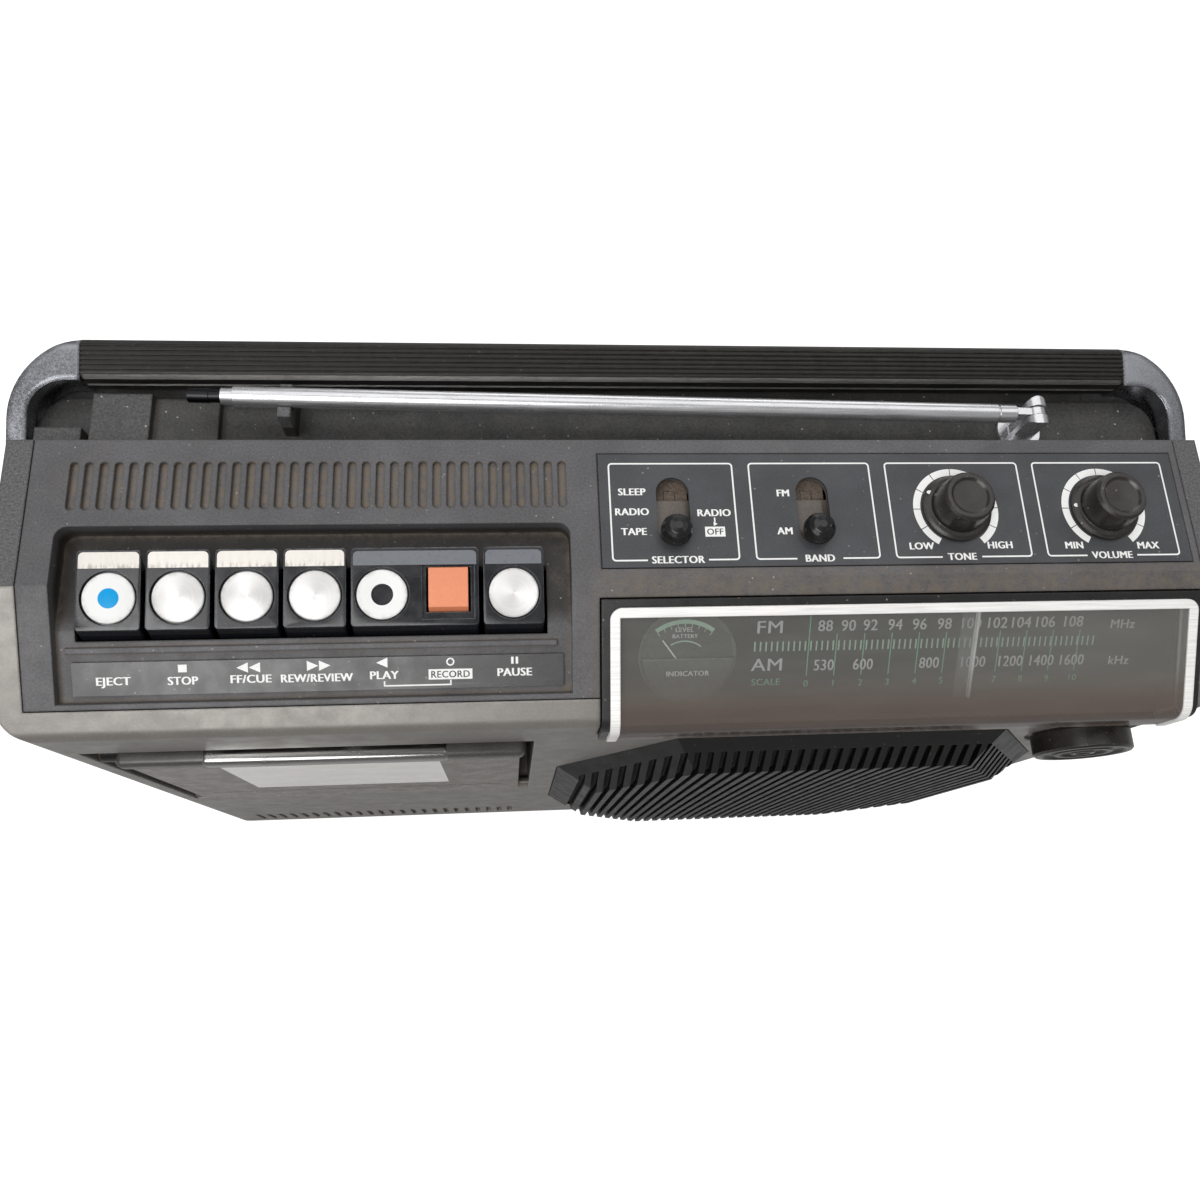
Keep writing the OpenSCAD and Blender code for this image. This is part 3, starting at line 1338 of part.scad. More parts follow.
section_step = 3;
module antenna_middle() color("silver") on_aerial()
    difference() {
        rod_x(tube_x0 - section_step, tube_x1 - collar_l - 4, middle_r, aerial_y, aerial_z);
        rod_x(tube_x0 - section_step - over, tube_x1 - collar_l - 8, middle_r - aerial_wall,
            aerial_y, aerial_z);
    }
module antenna_tip() color("silver") on_aerial() {
    rod_x(aerial_end_x + 5, tube_x1 - collar_l - 9, tip_r, aerial_y, aerial_z);
    rod_x(aerial_end_x, aerial_end_x + 5 + eps, tip_r + 0.15, aerial_y, aerial_z);
}

// Feet and fasteners
foot_side = 26;
foot_front = 13;
foot_back = 14;
module feet() color([0.06, 0.06, 0.06])
    for (x = [-hw + foot_side, hw - foot_side], y = [front_y + foot_front, rear_d - foot_back])
        translate([x, y, 0]) rotate_extrude() polygon([
            [0, 0], [foot_r - 0.8, 0], [foot_r, 0.8], [foot_r, foot_h], [0, foot_h]]);
module screws() color("silver") {
    for (p = screw_sites) difference() {
        union() {
            rod_y(front_y + screw_nose, rear_d - screw_sink, screw_r, p[0], p[1]);
            rod_y(rear_d - screw_sink, rear_d - screw_sink + screw_head_t, screw_head_r, p[0], p[1]);
        }
        for (a = [0, 90]) translate([p[0], rear_d - screw_sink + screw_head_t, p[1]]) rotate([0, a, 0])
            cube([screw_head_r + 0.4, 2, 0.9], center = true);
    }
    for (side = [-1, 1]) {
        x = side * span_out;
        rod_x(min(x, side * (hw - 7)), max(x, side * (hw - 7)), pivot_r, pivot_y, pivot_z);
        translate([x + side * gap, pivot_y, pivot_z]) rotate([0, side * 90, 0]) rotate_extrude() polygon([
            [0, -gap - eps], [pivot_r, -gap - eps], [pivot_r, 0], [pivot_head_r, 0], [pivot_head_r, 0.5],
            [pivot_head_r - 0.7, pivot_head_t], [0, pivot_head_t]]);
    }
}

in_frame() front_cabinet();
in_frame() rear_cabinet();
in_frame() top_panel();
in_frame() control_plate();
in_frame() label_strip();
in_frame() key_shaft();
in_frame() eject_key();
in_frame() stop_key();
in_frame() fast_forward_key();
in_frame() rewind_key();
in_frame() play_key();
in_frame() record_key();
in_frame() pause_key();
in_frame() eject_disc();
in_frame() stop_disc();
in_frame() fast_forward_disc();
in_frame() rewind_disc();
in_frame() play_disc();
in_frame() pause_disc();
in_frame() dial_bezel();
in_frame() dial_trim();
in_frame() dial_lens();
in_frame() dial_scale();
in_frame() dial_pointer();
in_frame() level_meter();
in_frame() meter_needle();
in_frame() selector_lever();
in_frame() band_lever();
in_frame() control_board();
in_frame() tone_knob();
in_frame() volume_knob();
in_frame() tuning_knob();
in_frame() speaker_grille();
in_frame() speaker_mesh();
in_frame() speaker_frame();
in_frame() speaker_cone();
in_frame() cassette_door();
in_frame() door_window();
in_frame() cassette_holder();
in_frame() deck_chassis();
in_frame() supply_hub();
in_frame() take_up_hub();
in_frame() capstan_flywheel();
in_frame() head_plate();
in_frame() pinch_roller();
in_frame() drive_motor();
in_frame() motor_pulley();
in_frame() drive_belt();
in_frame() main_board();
in_frame() ferrite_rod();
in_frame() battery_cover();
in_frame() rear_sockets();
in_frame() handle_grip();
in_frame() handle_arms();
in_frame() antenna_base();
in_frame() antenna_tube();
in_frame() antenna_middle();
in_frame() antenna_tip();
in_frame() feet();
in_frame() screws();
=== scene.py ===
"""Looks of a portable radio cassette recorder: finishes, print, dressed keys, light and camera."""
import json
import logging
import math
from collections.abc import Callable
from dataclasses import dataclass, field
from enum import Enum

import bmesh
import bpy
from mathutils import Matrix, Vector

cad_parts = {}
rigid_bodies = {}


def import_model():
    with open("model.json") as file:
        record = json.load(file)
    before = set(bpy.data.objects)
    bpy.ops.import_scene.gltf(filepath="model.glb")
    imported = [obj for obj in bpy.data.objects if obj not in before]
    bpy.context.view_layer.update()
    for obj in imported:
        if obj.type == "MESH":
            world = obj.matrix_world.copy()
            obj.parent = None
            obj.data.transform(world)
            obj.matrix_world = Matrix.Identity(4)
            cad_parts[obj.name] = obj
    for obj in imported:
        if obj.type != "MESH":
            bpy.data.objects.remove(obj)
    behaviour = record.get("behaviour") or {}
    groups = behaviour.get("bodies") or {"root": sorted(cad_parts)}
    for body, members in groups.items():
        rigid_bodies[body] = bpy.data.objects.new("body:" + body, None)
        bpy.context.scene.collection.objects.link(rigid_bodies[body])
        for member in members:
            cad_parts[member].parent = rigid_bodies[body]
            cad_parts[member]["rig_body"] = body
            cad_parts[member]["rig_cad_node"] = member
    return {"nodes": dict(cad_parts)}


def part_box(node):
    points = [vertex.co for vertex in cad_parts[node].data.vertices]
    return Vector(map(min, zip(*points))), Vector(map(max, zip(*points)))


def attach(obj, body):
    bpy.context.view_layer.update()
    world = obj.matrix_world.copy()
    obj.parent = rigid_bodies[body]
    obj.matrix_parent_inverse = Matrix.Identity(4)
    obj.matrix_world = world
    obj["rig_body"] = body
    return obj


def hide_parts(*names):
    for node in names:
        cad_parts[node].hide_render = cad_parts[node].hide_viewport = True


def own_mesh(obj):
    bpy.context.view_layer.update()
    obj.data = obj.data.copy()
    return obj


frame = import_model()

MM = 0.001
LOG = logging.getLogger("recorder")
Pair = tuple[float, float]
Triple = tuple[float, float, float]
Sides = tuple[float, float, float, float]
Colour = tuple[float, float, float, float]
Piece = bpy.types.Object
Material = bpy.types.Material
Tree = bpy.types.NodeTree
Node = bpy.types.Node
Socket = bpy.types.NodeSocket
Value = Socket | float | tuple
WHITE: Colour = (1.0, 1.0, 1.0, 1.0)


def linear(red: float, green: float, blue: float) -> Colour:
    """Turn a display colour into a scene colour.

    Args:
        red: Red from 0 to 255.
        green: Green from 0 to 255.
        blue: Blue from 0 to 255.

    Returns:
        The scene colour with full alpha.
    """
    shares = [value / 255.0 for value in (red, green, blue)]
    return (*(s / 12.92 if s <= 0.04045 else ((s + 0.055) / 1.055) ** 2.4 for s in shares), 1.0)


def shade(colour: tuple[float, ...], factor: float) -> Colour:
    """Scene colour made darker or lighter by a factor."""
    return (*(channel * factor for channel in colour[:3]), 1.0)


def deselect() -> None:
    """Leave edit mode and drop the selection."""
    if bpy.context.object and bpy.context.object.mode != "OBJECT":
        bpy.ops.object.mode_set(mode="OBJECT")
    bpy.ops.object.select_all(action="DESELECT")


def pick(*objects: Piece) -> None:
    """Select objects and make the first one active.

    Args:
        objects: The objects.
    """
    deselect()
    for item in objects:
        item.select_set(True)
    bpy.context.view_layer.objects.active = objects[0]


def made(name: str) -> Piece:
    """Name the object that the last operator made.

    Args:
        name: Name for the object and its mesh.

    Returns:
        The object.
    """
    item = bpy.context.view_layer.objects.active
    item.name = name
    item.data.name = name
    return item


def smooth(item: Piece, angle_deg: float = 40.0) -> None:
    """Shade an object smooth, except over edges sharper than an angle."""
    pick(item)
    bpy.ops.object.shade_smooth_by_angle(angle=math.radians(angle_deg))


def dress(item: Piece, material: Material) -> None:
    """Give an object one material.

    Args:
        item: The object.
        material: The material for all its slots.
    """
    if not item.data.materials:
        item.data.materials.append(material)
    for place in item.material_slots:
        place.material = material


def ride(item: Piece, material: Material, body: str) -> None:
    """Dress a finished piece, let it move with a body and give it a finish slot.

    Args:
        item: The finished piece.
        material: Its material.
        body: Name of the body that carries it.
    """
    dress(item, material)
    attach(item, body)
    LOG.info("piece %s rides on %s", item.name, body)


def between(low: Vector, high: Vector) -> Matrix:
    """Matrix that puts a unit cube or square between two corners."""
    return Matrix.Translation((low + high) / 2) @ Matrix.Diagonal((*(high - low), 1.0))


class Bench:
    """Edit mode on one object, with selection by place and lengths in millimetres."""

    def __init__(self, item: Piece) -> None:
        """Keep the object to work on."""
        self.item = item

    def __enter__(self) -> "Bench":
        """Enter edit mode with everything selected.

        Returns:
            The bench itself.
        """
        pick(self.item)
        bpy.ops.object.mode_set(mode="EDIT")
        bpy.ops.mesh.select_mode(type="VERT")
        self.everything()
        return self

    def __exit__(self, *_: object) -> None:
        """Go back to object mode."""
        bpy.ops.object.mode_set(mode="OBJECT")

    @staticmethod
    def everything() -> None:
        """Select the whole mesh."""
        bpy.ops.mesh.select_all(action="SELECT")

    def _select(self, kind: str, wanted: Callable[..., bool]) -> int:
        """Select only the edges or the faces that a test accepts.

        Args:
            kind: EDGE or FACE.
            wanted: Called with the edge or face; true selects it.

        Returns:
            The number of selected edges or faces.
        """
        bpy.ops.mesh.select_mode(type=kind)
        bpy.ops.mesh.select_all(action="DESELECT")
        mesh = bmesh.from_edit_mesh(self.item.data)
        chosen = [part for part in (mesh.edges if kind == "EDGE" else mesh.faces) if wanted(part)]
        for part in chosen:
            part.select_set(True)
        bmesh.update_edit_mesh(self.item.data)
        return len(chosen)

    def edges(self, wanted: Callable[[Vector, Vector], bool]) -> int:
        """Select the edges whose two ends pass a test, and count them."""
        return self._select("EDGE", lambda edge: wanted(edge.verts[0].co, edge.verts[1].co))

    def faces(self, wanted: Callable[[Vector], bool]) -> int:
        """Select the faces whose middle passes a test, and count them."""
        return self._select("FACE", lambda face: wanted(face.calc_center_median()))

    @staticmethod
    def bevel(radius: float, steps: int, affect: str = "EDGES", clamp: bool = False) -> None:
        """Round what is selected."""
        bpy.ops.mesh.bevel(offset=radius * MM, segments=steps, affect=affect, clamp_overlap=clamp)

    def thicken(self, depth: float) -> None:
        """Make a closed plate of a flat mesh.

        Args:
            depth: Thickness of the plate, upwards if positive.
        """
        self.everything()
        bpy.ops.mesh.extrude_region_move(TRANSFORM_OT_translate={"value": (0, 0, depth * MM)})
        self.everything()
        bpy.ops.mesh.normals_make_consistent(inside=False)


def copy_of(node: str, name: str) -> Piece:
    """Copy a solid of the frame as a clean mesh of its own.

    Args:
        node: Name of the solid.
        name: Name of the new piece.

    Returns:
        The copy, bare, with doubles merged and flat faces joined.
    """
    pick(frame["nodes"][node])
    bpy.ops.object.duplicate()
    bpy.ops.object.parent_clear(type="CLEAR_KEEP_TRANSFORM")
    item = made(name)
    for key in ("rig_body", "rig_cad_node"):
        if key in item:
            del item[key]
    bpy.ops.mesh.customdata_custom_splitnormals_clear()
    item.data.materials.clear()
    with Bench(item):
        bpy.ops.mesh.remove_doubles(threshold=1e-6)
        bpy.ops.mesh.dissolve_limited(angle_limit=math.radians(0.4))
    return item


@dataclass(frozen=True)
class Case:
    """The planes of the case that print and fittings sit on, in millimetres from its ridge and floor."""

    ridge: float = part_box("rear_cabinet")[0].y / MM
    top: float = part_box("control_plate")[1].z / MM
    slope_deg: float = 24.0
    scale_deg: float = 35.0
    scale_y: float = -6.1
    scale_drop: float = 8.4
    key_deg: float = 12.0
    key_rear_y: float = 8.6
    key_rear_drop: float = 0.6
    knobs: tuple[tuple[str, float], ...] = (("tone", 81.0), ("volume", 120.4))
    control_y: float = 17.2
    door_band_z: float = 176.4

    def behind(self, y: float) -> float:
        """Scene Y of a place behind the ridge."""
        return (self.ridge + y) * MM

    def at(self, x: float, y: float, z: float) -> Vector:
        """Scene point of a place, with y from the ridge and z from the floor."""
        return Vector((x, y + self.ridge, z)) * MM

    def plane(self, x: float, y: float, z: float, tilt_deg: float) -> Matrix:
        """Matrix of a plane through a place, tilted about X.

        Args:
            x: Place along the width.
            y: Place behind the ridge.
            z: Place above the floor.
            tilt_deg: Tilt towards the front.

        Returns:
            The matrix from the plane to the scene, in metres.
        """
        return Matrix.Translation(self.at(x, y, z)) @ Matrix.Rotation(math.radians(tilt_deg), 4, "X")

    def flat(self) -> Matrix:
        """Plane of the flat top."""
        return self.plane(0, 0, self.top, 0)

    def slope(self) -> Matrix:
        """Plane of the sloping control face."""
        return self.plane(0, 0, self.top, self.slope_deg)

    def scale(self) -> Matrix:
        """Plane of the dial scale."""
        return self.plane(0, self.scale_y, self.top - self.scale_drop, self.scale_deg)

    def key_top(self, y: float) -> float:
        """Height of the key tops at a depth behind the ridge."""
        drop = (self.key_rear_y - y) * math.tan(math.radians(self.key_deg))
        return self.top - self.key_rear_drop - drop

    def key(self, x: float, y: float) -> Matrix:
        """Plane on top of a key."""
        return self.plane(x, y, self.key_top(y), self.key_deg)


CASE = Case()


class Graph:
    """A node tree that is put together by short calls, with sizes in millimetres."""

    def __init__(self, tree: Tree) -> None:
        """Keep the tree."""
        self.tree = tree

    def put(self, node: Node, inputs: dict[str | int, Value]) -> Node:
        """Set or link inputs of a node.

        Args:
            node: The node.
            inputs: Values or sockets by input name or number.

        Returns:
            The same node.
        """
        for key, value in inputs.items():
            if isinstance(value, Socket):
                self.tree.links.new(value, node.inputs[key])
            else:
                node.inputs[key].default_value = value
        return node

    def add(self, kind: str, inputs: dict[str | int, Value] | None = None, **settings: object) -> Node:
        """Add a node.

        Args:
            kind: Node type.
            inputs: Values or sockets by input name or number.
            settings: Node properties.

        Returns:
            The new node.
        """
        node = self.tree.nodes.new(kind)
        for key, value in settings.items():
            setattr(node, key, value)
        return self.put(node, inputs or {})

    def math(self, operation: str, first: Value, second: Value = 0.0, clamp: bool = False) -> Socket:
        """Result of a sum on two values or sockets."""
        return self.add("ShaderNodeMath", {0: first, 1: second}, operation=operation, use_clamp=clamp).outputs[0]

    def times(self, first: Value, *others: Value) -> Value:
        """Multiply values or sockets.

        Args:
            first: First factor.
            others: The other factors.

        Returns:
            The product.
        """
        for other in others:
            first = self.math("MULTIPLY", first, other)
        return first

    def noise(self, vector: Socket, size: float, detail: float = 3.0, rough: float = 0.55) -> Socket:
        """Noise whose lumps are about size millimetres wide."""
        inputs = {"Vector": vector, "Scale": 1.0 / (size * MM), "Detail": detail, "Roughness": rough}
        return self.add("ShaderNodeTexNoise", inputs).outputs["Fac"]

    def stretch(self, vector: Socket, factors: Triple) -> Socket:
        """Coordinates stretched along the axes."""
        return self.add("ShaderNodeMapping", {"Vector": vector, "Scale": factors}).outputs[0]

    def step(self, value: Socket, low: Value, high: Value, out_low: float = 0.0, out_high: float = 1.0) -> Socket:
        """Smooth step of a value from low to high."""
        inputs = {"Value": value, "From Min": low, "From Max": high, "To Min": out_low, "To Max": out_high}
        return self.add("ShaderNodeMapRange", inputs, interpolation_type="SMOOTHSTEP").outputs["Result"]

    def mix(self, share: Value, first: Value, second: Value, blend: str = "MIX") -> Socket:
        """Mixture of two colours."""
        node = self.add("ShaderNodeMix", {0: share, 6: first, 7: second}, data_type="RGBA", blend_type=blend)
        return node.outputs[2]

    def group(self, effect: Tree, **values: Value) -> dict[str, Socket]:
        """Place a shared effect, set its inputs by name and give its outputs."""
        return self.add("ShaderNodeGroup", values, node_tree=effect).outputs


class Effect(Graph):
    """A shared shader effect with named inputs and outputs."""

    def __init__(self, name: str, inputs: dict[str, str], outputs: dict[str, str]) -> None:
        """Make the group and its sockets.

        Args:
            name: Name of the effect.
            inputs: Socket kind by input name.
            outputs: Socket kind by output name.
        """
        super().__init__(bpy.data.node_groups.new(name, "ShaderNodeTree"))
        for side, sockets in (("INPUT", inputs), ("OUTPUT", outputs)):
            for key, kind in sockets.items():
                self.tree.interface.new_socket(key, in_out=side, socket_type="NodeSocket" + kind)
        self.inp = self.add("NodeGroupInput").outputs
        self.out = self.add("NodeGroupOutput")

    def give(self, **values: Socket) -> Tree:
        """Send values to the outputs and return the group."""
        self.put(self.out, values)
        return self.tree


class Shader(Graph):
    """A material with one principled shader."""

    def __init__(self, name: str) -> None:
        """Make the material.

        Args:
            name: Name of the material.
        """
        self.material = bpy.data.materials.new(name)
        self.material.use_nodes = True
        super().__init__(self.material.node_tree)
        self.place = self.add("ShaderNodeTexCoord").outputs["Object"]
        self.split: Node | None = None

    def axis(self, letter: str) -> Socket:
        """Find one coordinate of the shaded point.

        Args:
            letter: X, Y or Z.

        Returns:
            The coordinate, in metres.
        """
        if self.split is None:
            self.split = self.add("ShaderNodeSeparateXYZ", {0: self.place})
        return self.split.outputs[letter]

    def above(self, z: float) -> Socket:
        """Mask of the points above a height over the floor."""
        return self.step(self.axis("Z"), (z - 0.1) * MM, (z + 0.1) * MM)

    def relief(self, height: Socket, depth: float, strength: float, normal: Socket | None = None) -> Socket:
        """Normal of a height field that is depth millimetres deep."""
        inputs = {"Height": height, "Distance": depth * MM, "Strength": strength}
        return self.add("ShaderNodeBump", inputs | ({"Normal": normal} if normal else {})).outputs[0]

    def feed(self, **values: Value) -> None:
        """Set or link inputs of the principled shader, by name with underscores."""
        self.put(self.tree.nodes["Principled BSDF"], {key.replace("_", " "): v for key, v in values.items()})


class Effects:
    """The shared effects, each built once."""

    def __init__(self) -> None:
        """Build every effect."""
        self.grain = self._grain()
        self.dust = self._dust()
        self.wear = self._wear()
        self.edges = self._edges()
        self.corners = self._corners()
        self.spun = self._spun()

    @staticmethod
    def _grain() -> Tree:
        """Build the leathery grain of moulded plastic.

        Returns:
            Group with a height from 0 to 1.
        """
        e = Effect("moulded_grain", {"Vector": "Vector", "Size": "Float"}, {"Height": "Float"})
        lie = {"Vector": e.inp["Vector"], "Scale": e.math("DIVIDE", 1.0, e.inp["Size"])}
        cells = e.add("ShaderNodeTexVoronoi", lie, feature="SMOOTH_F1").outputs["Distance"]
        fine = e.add("ShaderNodeTexNoise", lie | {"Detail": 2.0}).outputs["Fac"]
        return e.give(Height=e.math("ADD", e.times(cells, 0.6), e.times(fine, 0.5)))

    @staticmethod
    def _dust() -> Tree:
        """Build settled dust.

        Returns:
            Group with masks of soft clouds and of single specks.
        """
        e = Effect("settled_dust", {"Vector": "Vector", "Amount": "Float"}, {"Mask": "Float", "Specks": "Float"})
        lie, amount = e.inp["Vector"], e.inp["Amount"]
        both = e.math("ADD", e.times(e.noise(lie, 11.0, 5.0, 0.62), 0.6), e.times(e.noise(lie, 0.45, 2.0), 0.4))
        edge = e.math("SUBTRACT", 0.80, e.times(amount, 0.5))
        mask = e.step(both, edge, e.math("ADD", edge, 0.30))
        cells = e.add("ShaderNodeTexVoronoi", {"Vector": lie, "Scale": 620.0, "Randomness": 1.0})
        near = e.step(cells.outputs["Distance"], 0.20, 0.08)
        rare = e.step(e.noise(lie, 2.2, 3.0), 0.56, 0.66)
        return e.give(Mask=mask, Specks=e.math("MULTIPLY", near, e.times(rare, amount), clamp=True))

    @staticmethod
    def _wear() -> Tree:
        """Build fine scratches in two directions.

        Returns:
            Group with a mask of the scratches.
        """
        e = Effect("fine_scratches", {"Vector": "Vector", "Amount": "Float"}, {"Mask": "Float"})
        marks = []
        for turn, factors in ((0.35, (60.0, 900.0, 300.0)), (-0.5, (75.0, 1100.0, 300.0))):
            lie = {"Vector": e.inp["Vector"], "Rotation": (0.0, 0.0, turn), "Scale": factors}
            place = e.add("ShaderNodeMapping", lie).outputs[0]
            line = e.add("ShaderNodeTexNoise", {"Vector": place, "Scale": 1.0, "Detail": 1.0}).outputs["Fac"]
            marks.append(e.step(line, 0.74, 0.79))
        return e.give(Mask=e.times(e.math("MAXIMUM", *marks), e.inp["Amount"]))

    @staticmethod
    def _edges() -> Tree:
        """Build soft edges.

        Returns:
            Group with a normal that rounds sharp edges, and a mask of the places close to them.
        """
        e = Effect("soft_edges", {"Radius": "Float"}, {"Normal": "Vector", "Mask": "Float"})
        normal = e.add("ShaderNodeBevel", {"Radius": e.inp["Radius"]}, samples=4).outputs[0]
        real = e.add("ShaderNodeNewGeometry").outputs["Normal"]
        dot = e.add("ShaderNodeVectorMath", {0: normal, 1: real}, operation="DOT_PRODUCT").outputs["Value"]
        return e.give(Normal=normal, Mask=e.step(dot, 0.995, 0.86))

    @staticmethod
    def _corners() -> Tree:
        """Build inner corners.

        Returns:
            Group with a mask of the places in an inner corner of the same piece.
        """
        e = Effect("inner_corners", {"Reach": "Float"}, {"Mask": "Float"})
        near = e.add("ShaderNodeAmbientOcclusion", {"Distance": e.inp["Reach"]}, samples=4, only_local=True)
        return e.give(Mask=e.step(near.outputs["AO"], 0.86, 0.45))

    @staticmethod
    def _spun() -> Tree:
        """Build turned metal with a painted highlight.

        Returns:
            Group with a painted conic highlight mixed with fine rings round the middle, the fine rings alone, and the
            distance from the middle.
        """
        e = Effect("spun_metal", {"Vector": "Vector", "Turn": "Float"},
                   {"Tone": "Float", "Rings": "Float", "Radius": "Float"})
        part = e.add("ShaderNodeSeparateXYZ", {0: e.inp["Vector"]}).outputs
        angle = e.math("ADD", e.math("ARCTAN2", part["Y"], part["X"]), e.inp["Turn"])
        radius = e.math("SQRT", e.math("ADD", e.math("POWER", part["X"], 2.0), e.math("POWER", part["Y"], 2.0)))
        round_it = e.add("ShaderNodeCombineXYZ", {"X": e.times(radius, 5200.0), "Y": e.times(angle, 0.35)}).outputs[0]
        thin = e.add("ShaderNodeTexNoise", {"Vector": round_it, "Scale": 1.0, "Detail": 2.0}).outputs["Fac"]
        # Painted highlight: two bright wedges across the disc, standing in for the reflection of turned metal.
        painted_glint = e.math("POWER", e.math("ABSOLUTE", e.math("COSINE", angle)), 2.5)
        return e.give(Tone=e.math("ADD", e.times(painted_glint, 0.7), e.times(thin, 0.5)), Rings=thin, Radius=radius)


FX = Effects()


@dataclass(frozen=True)
class Finish:
    """A finish that makes one material."""

    name: str

    def paint(self, s: Shader) -> None:
        """Feed the principled shader, which each kind of finish does in its own way."""
        raise NotImplementedError

    def build(self) -> Material:
        """Make the material.

        Returns:
            The finished material.
        """
        s = Shader(self.name)
        self.paint(s)
        return s.material


@dataclass(frozen=True)
class Plastic(Finish):
    """Moulded or painted plastic with grain, scratches, worn edges with a painted highlight, and settled dust.

    The optional places are settle (lowest, highest and front of a dusty recess), drift (left, front and back
    of a dusty stretch), band (height of a change of colour, and the colour above; on the case the lighter
    colour above is painted light) and deep_shade (painted shade: a darker colour deep under the top).
    """

    tone: Triple
    roughness: float = 0.45
    metallic: float = 0.0
    specular: float = 0.5
    grain: float = 0.25
    grain_size: float = 0.35
    mottle: float = 0.12
    grit: float = 0.2
    scratches: float = 0.1
    edge: float = 0.35
    edge_wear_and_highlight_tone: Triple | None = None
    dust: float = 0.15
    dust_tone: Triple = (122, 110, 96)
    specks: float = 0.5
    corners: float = 0.0
    settle: Triple | None = None
    drift: Triple | None = None
    band: tuple[float, Triple] | None = None
    deep_shade: Triple | None = None

    SPECK_TONE = (196, 188, 176)
    SCRATCH_TONE = (150, 148, 146)
    CORNER_REACH = 2.6
    SETTLE_SHARE = 0.75
    DRIFT_SHARE = 0.6
    DRIFT_FADE = 14.0
    DEEP_SHADE_DEPTH = (1.5, 4.5)
    MOTTLE_SIZE = 16.0
    GRIT_SIZE = 0.55
    WEAR_SIZE = 2.2
    PATCH_SIZE = 2.4
    SHEEN_SIZE = 5.0
    SHEEN = 0.07
    GRAIN_DEPTH = 0.05

    def _dusted(self, s: Shader, colour: Socket) -> tuple[Socket, Socket]:
        """Lay dust on a colour.

        Args:
            s: Shader that is being made.
            colour: Clean colour.

        Returns:
            The dusty colour and the dust mask.
        """
        dust = s.group(FX.dust, Vector=s.place, Amount=self.dust)
        mask = s.times(dust["Mask"], 0.5)
        patches = []
        if self.corners > 0.0:
            patches.append((s.group(FX.corners, Reach=self.CORNER_REACH * MM)["Mask"], self.corners))
        if self.settle is not None:
            low, high, start = self.settle
            deep = s.step(s.axis("Z"), (CASE.top + high) * MM, (CASE.top + low) * MM)
            after = s.step(s.axis("Y"), CASE.behind(start), CASE.behind(start + 0.4))
            patches.append((deep, after, self.SETTLE_SHARE))
        if self.drift is not None:
            left, front, back = self.drift
            right = s.step(s.axis("X"), left * MM, (left + self.DRIFT_FADE) * MM)
            ahead = s.step(s.axis("Y"), CASE.behind(back), CASE.behind(front))
            patches.append((right, ahead, self.DRIFT_SHARE))
        for factors in patches:
            broken = s.step(s.noise(s.place, self.PATCH_SIZE, 5.0, 0.68), 0.30, 0.66, 0.15, 1.0)
            mask = s.math("MAXIMUM", mask, s.times(broken, *factors))
        colour = s.mix(mask, colour, linear(*self.dust_tone))
        specks = s.math("MULTIPLY", dust["Specks"], self.specks, clamp=True)
        return s.mix(specks, colour, linear(*self.SPECK_TONE)), mask

    def paint(self, s: Shader) -> None:
        """Lay the tones, the wear with a painted edge highlight, the painted deep shade, the dust and the grain.

        Args:
            s: Shader that is being made.
        """
        base = linear(*self.tone)
        clouds = s.step(s.noise(s.place, self.MOTTLE_SIZE, 4.0), 0.32, 0.68)
        colour = s.mix(clouds, shade(base, 1.0 - self.mottle), shade(base, 1.0 + self.mottle))
        if self.band is not None:
            colour = s.mix(s.above(self.band[0]), colour, linear(*self.band[1]))
        # Painted shade: the colour turns darker deep under the top, in the recesses of the panel.
        if self.deep_shade is not None:
            ahead = s.math("MINIMUM", s.math("SUBTRACT", s.axis("Y"), CASE.ridge * MM), 0.0)
            skin = s.math("ADD", s.times(ahead, math.tan(math.radians(CASE.slope_deg))), CASE.top * MM)
            depth = s.math("SUBTRACT", skin, s.axis("Z"))
            deep = s.step(depth, *(d * MM for d in self.DEEP_SHADE_DEPTH))
            colour = s.mix(deep, colour, linear(*self.deep_shade))
        grains = s.step(s.noise(s.place, self.GRIT_SIZE, 3.0, 0.7), 0.3, 0.7)
        grit = s.mix(grains, shade(WHITE, 1.0 - self.grit), shade(WHITE, 1.0 + self.grit))
        colour = s.mix(1.0, colour, grit, "MULTIPLY")
        if self.scratches > 0.0:
            marks = s.group(FX.wear, Vector=s.place, Amount=self.scratches)["Mask"]
            colour = s.mix(s.times(marks, 0.35), colour, linear(*self.SCRATCH_TONE))
        edges = s.group(FX.edges, Radius=self.edge * MM)
        if self.edge_wear_and_highlight_tone is not None:
            # Edges lighter by the edge colour: wear broken by noise, and also a painted highlight along the edges.
            worn = s.step(s.noise(s.place, self.WEAR_SIZE), 0.36, 0.56, 0.4, 1.0)
            broken = s.times(edges["Mask"], worn, 0.7)
            colour = s.mix(broken, colour, linear(*self.edge_wear_and_highlight_tone))
        colour, mask = self._dusted(s, colour)
        sheen = s.noise(s.place, self.SHEEN_SIZE, 4.0)
        rough = s.step(sheen, 0.25, 0.75, self.roughness - self.SHEEN, self.roughness + self.SHEEN)
        rough = s.math("MAXIMUM", rough, s.times(mask, 0.9), clamp=True)
        normal = edges["Normal"]
        if self.grain > 0.0:
            height = s.group(FX.grain, Vector=s.place, Size=self.grain_size * MM)["Height"]
            normal = s.relief(height, self.GRAIN_DEPTH, self.grain, normal)
        s.feed(Base_Color=colour, Roughness=rough, Metallic=self.metallic, Normal=normal,
               Specular_IOR_Level=self.specular)


class Lay(Enum):
    """Direction of the fine marks on a metal."""

    ALONG_X = (1.0, 60.0, 60.0)
    PLAIN = (20.0, 20.0, 20.0)


